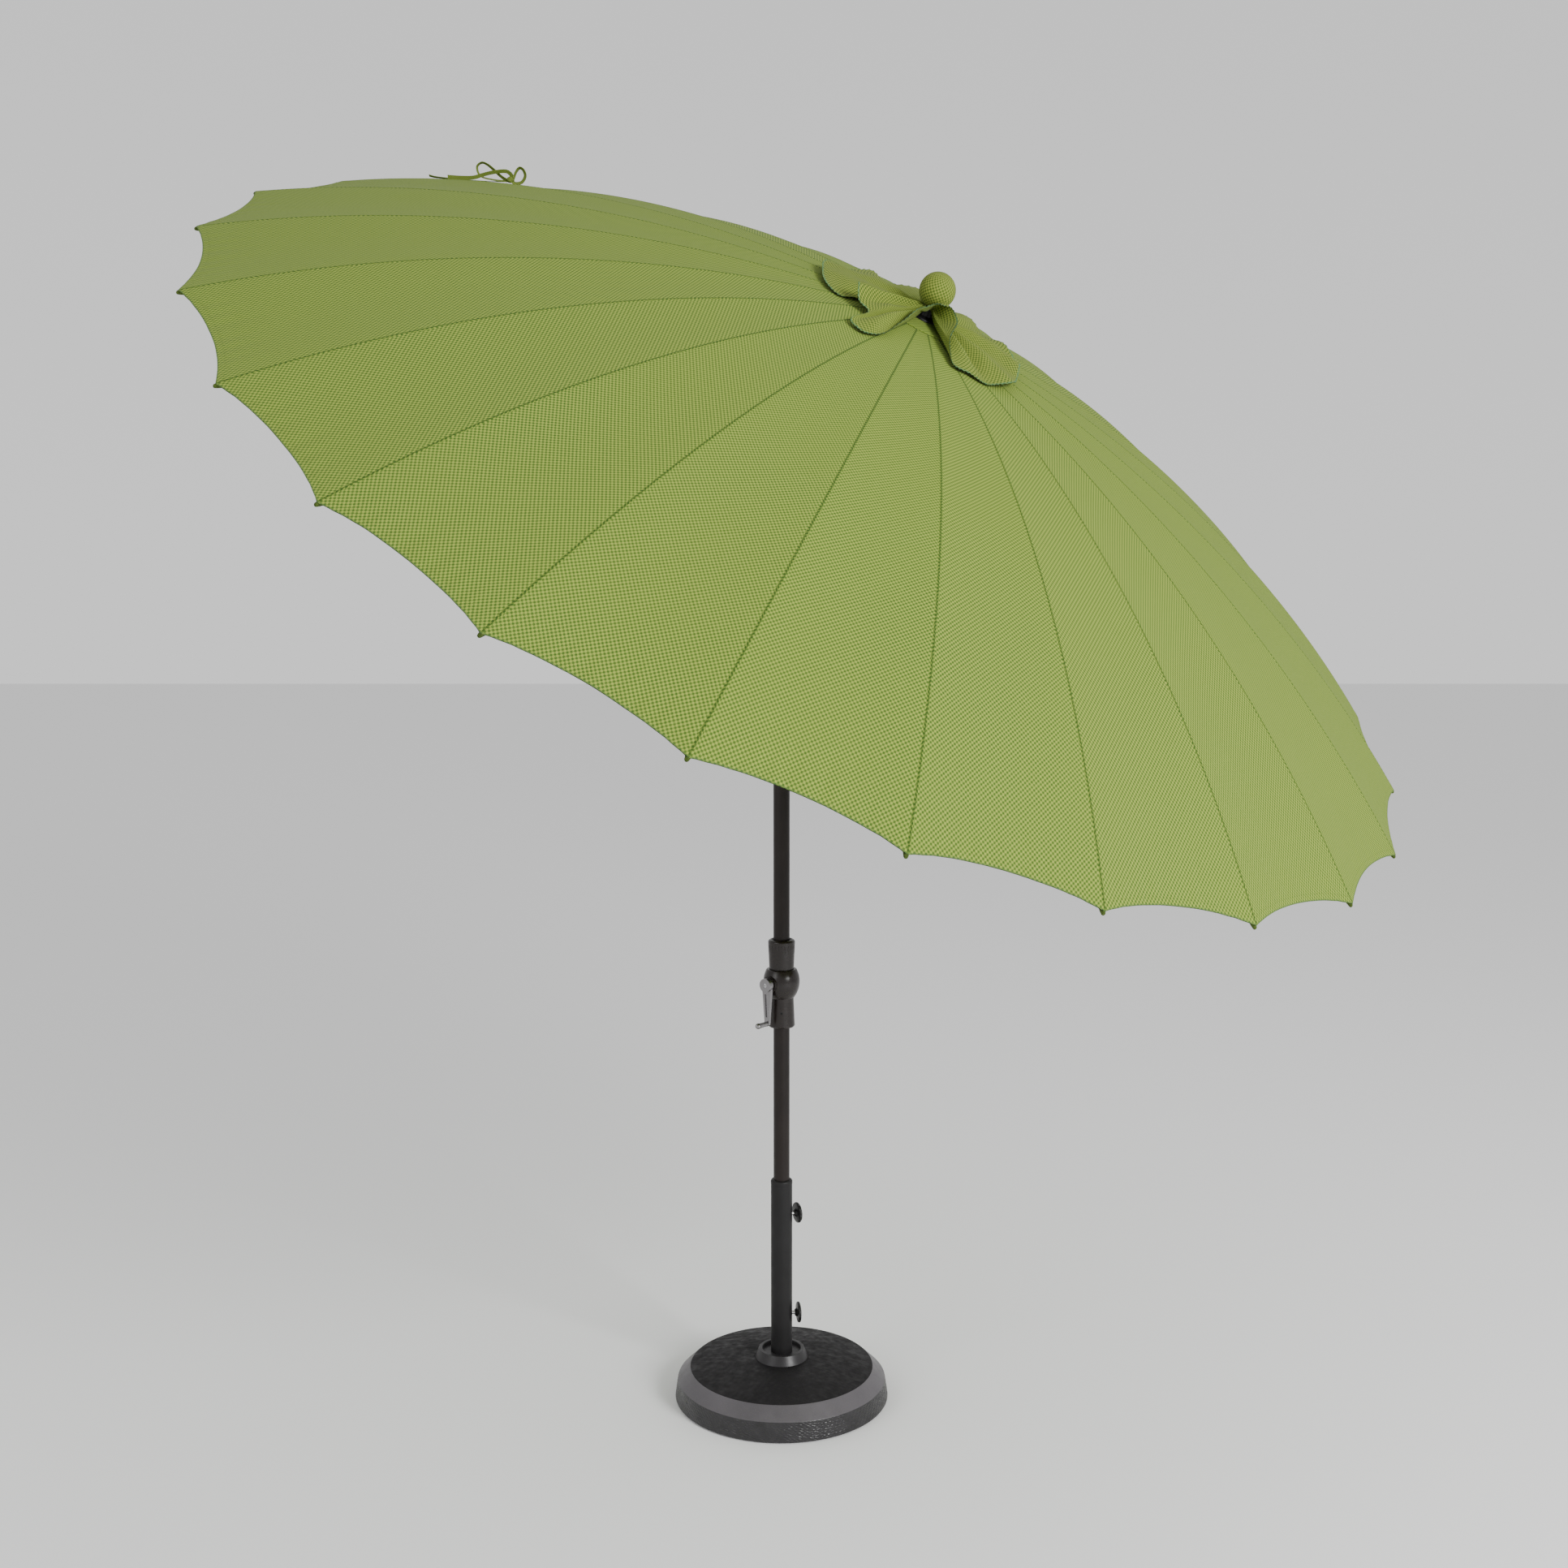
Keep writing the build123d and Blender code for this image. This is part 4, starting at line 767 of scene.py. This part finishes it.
edit_mesh(tie, close_ends)
tie.data.polygons.foreach_set("use_smooth", [False] * len(tie.data.polygons))
tie.data.materials.append(tie_cloth)
knot_t, knot_o = np.meshgrid(np.linspace(0, math.pi, 17), np.linspace(0, 2 * math.pi, 25)[:-1],
                             indexing="ij")
crease = 1 + 0.10 * np.sin(3 * knot_o + 4 * knot_t)
kx = 0.0085 * np.sin(knot_t) * np.cos(knot_o) * crease
ky = 0.0095 + 0.0070 * np.cos(knot_t) * crease
kz = 0.003 + 0.0080 * np.sin(knot_t) * np.sin(knot_o) * crease
knot_p = bow_spot + kx[..., None] * bow_side + ky[..., None] * bow_up + kz[..., None] * bow_front
knot_q = grid_quads(*knot_t.shape, 0, False, wrap=True)
knot_flat = np.stack([knot_o * 0.0085, knot_t * 0.0085], -1).reshape(-1, 2)
knot = mesh_from("tie_knot", knot_p, knot_q, {"weave": knot_flat[knot_q]})
weld(knot)
knot.data.materials.append(tie_cloth)
for piece in (tie, knot):
    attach(piece, "rib_11_arm")
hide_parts("tie_bow")

# ---- stretchers: a copy of the CAD arms, which run between the mast and the runner ----
arms = bpy.data.objects.new("stretcher_arms", nodes["stretchers"].data.copy())
scene.collection.objects.link(arms)
arms.data.materials.clear()
arms.data.materials.append(rib_finish)
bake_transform(arms)
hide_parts("stretchers")

# ---- base cover: pebbled wall, smooth bevel and a matt top ----
BASE_PROFILE = [(0.2400, 0.0031), (0.2538, 0.0031), (0.2553, 0.0052)]
WALL_TOP = (0.2488, 0.0487)
BEVEL_TOP = (0.2190, 0.0770)
CROWN = (0.0640, 0.0970)
TURNS = 960
PEBBLE_DEPTH = 0.00055


def leg(p, q, count):
    w = np.linspace(0, 1, count + 1)[1:, None]
    return np.array(p) * (1 - w) + np.array(q) * w


wall = leg(BASE_PROFILE[-1], WALL_TOP, 40)
wall_edge = np.array([(0.2484, 0.0493), (0.2478, 0.0499)])
bevel = leg(wall_edge[-1], BEVEL_TOP, 8)
bevel_edge = np.array([(0.2184, 0.0774), (0.2176, 0.0777)])
w = np.linspace(0, 1, 49)[1:]
crown_line = np.stack([bevel_edge[-1][0] + (CROWN[0] - bevel_edge[-1][0]) * w,
                       bevel_edge[-1][1] + (CROWN[1] - bevel_edge[-1][1]) * np.sin(w * math.pi / 2)], 1)
profile = np.concatenate([np.array(BASE_PROFILE), wall, wall_edge, bevel, bevel_edge, crown_line])
wall_rows = range(3, 3 + len(wall) - 1)
bevel_from = 3 + len(wall) + 1
top_from = bevel_from + len(bevel) + 1
th = np.linspace(0, 2 * math.pi, TURNS + 1)[:-1]
pr, pz = profile[:, 0][:, None], profile[:, 1][:, None]
pebbles = (ripple(np.sin(th) * 0.25 + pz * 0, np.cos(th) * 0.25 + pz * 2.3, 0.0062, 21)
           + ripple(np.sin(th) * 0.25 - pz * 1.9, np.cos(th) * 0.25 + pz * 0, 0.0085, 22))
soft = np.zeros((len(profile), 1))
for i in wall_rows:
    soft[i] = min(1, (i - 2) / 3, (3 + len(wall) - i) / 3)
out = PEBBLE_DEPTH * pebbles * soft
dish = np.zeros((len(profile), 1))
dish[top_from + 2:] = 1
x, y = pr * np.cos(th), pr * np.sin(th)
lumps = dish * (0.0004 * ripple(x, y, 0.05, 31) + 0.00025 * ripple(x, y, 0.014, 32))
base_p = np.stack(np.broadcast_arrays((pr + out) * np.cos(th), (pr + out) * np.sin(th), pz + lumps), -1)
quads = grid_quads(len(profile), TURNS, 0, False, wrap=True)
cover = mesh_from("base_cover", base_p, quads, {})
weld(cover)
for finish in (wall_pebble, bevel_satin, top_matt):
    cover.data.materials.append(finish)
for face in cover.data.polygons:
    row = face.index // TURNS
    face.material_index = 0 if row < bevel_from - 1 else 1 if row < top_from - 1 else 2
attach(cover, "base")
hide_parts("base_shell")

# ---- camera, floor and light ----
# lens, shift, place and pitch come from a camera fit to the photo
PHOTO_WIDTH = 1932
FOCAL = 2211.08
SENSOR = 36.0
cam_data = bpy.data.cameras.new("camera")
cam_data.sensor_width = SENSOR
cam_data.lens = FOCAL / PHOTO_WIDTH * SENSOR
cam_data.shift_x = 3.0 / PHOTO_WIDTH
cam_data.clip_end = 100
camera = bpy.data.objects.new("camera", cam_data)
camera.location = (0.0, -4.1394, 1.9523)
camera.rotation_euler = (math.pi / 2 - 0.1129, 0, 0)
scene.collection.objects.link(camera)
scene.camera = camera

floor_me = bpy.data.meshes.new("floor")
FAR = 30.0
floor_me.from_pydata([(-FAR, -FAR, 0), (FAR, -FAR, 0), (FAR, FAR, 0), (-FAR, FAR, 0)], [], [(0, 1, 2, 3)])
floor = bpy.data.objects.new("floor", floor_me)
scene.collection.objects.link(floor)
floor_me.materials.append(Shader("pale_floor").finish((0.94, 0.94, 0.94, 1), 0.9))

world = bpy.data.worlds.new("studio")
scene.world = world
world.use_nodes = True
background = world.node_tree.nodes["Background"]
background.inputs[0].default_value = (1.0, 1.0, 1.0, 1)
height = world.node_tree.nodes.new("ShaderNodeSeparateXYZ")
spread = world.node_tree.nodes.new("ShaderNodeTexCoord")
fall = world.node_tree.nodes.new("ShaderNodeMapRange")
for key, number in (("From Min", 0.02), ("From Max", 0.75), ("To Min", 0.93), ("To Max", 0.74)):
    fall.inputs[key].default_value = number
world.node_tree.links.new(spread.outputs["Generated"], height.inputs[0])
world.node_tree.links.new(height.outputs["Z"], fall.inputs["Value"])
world.node_tree.links.new(fall.outputs["Result"], background.inputs[1])


def area_light(name, at, to, size, power):
    data = bpy.data.lights.new(name, "AREA")
    data.shape = "RECTANGLE"
    data.size, data.size_y = size
    data.energy = power
    ob = bpy.data.objects.new(name, data)
    ob.location = at
    ob.rotation_euler = (Vector(to) - Vector(at)).to_track_quat("-Z", "Y").to_euler()
    scene.collection.objects.link(ob)


area_light("key", at=(4.6, -5.2, 3.6), to=(0.1, 0, 1.8), size=(2.5, 2.5), power=560)
area_light("fill", at=(-4.2, -4.0, 3.2), to=(0, 0, 1.4), size=(2.5, 2.5), power=70)
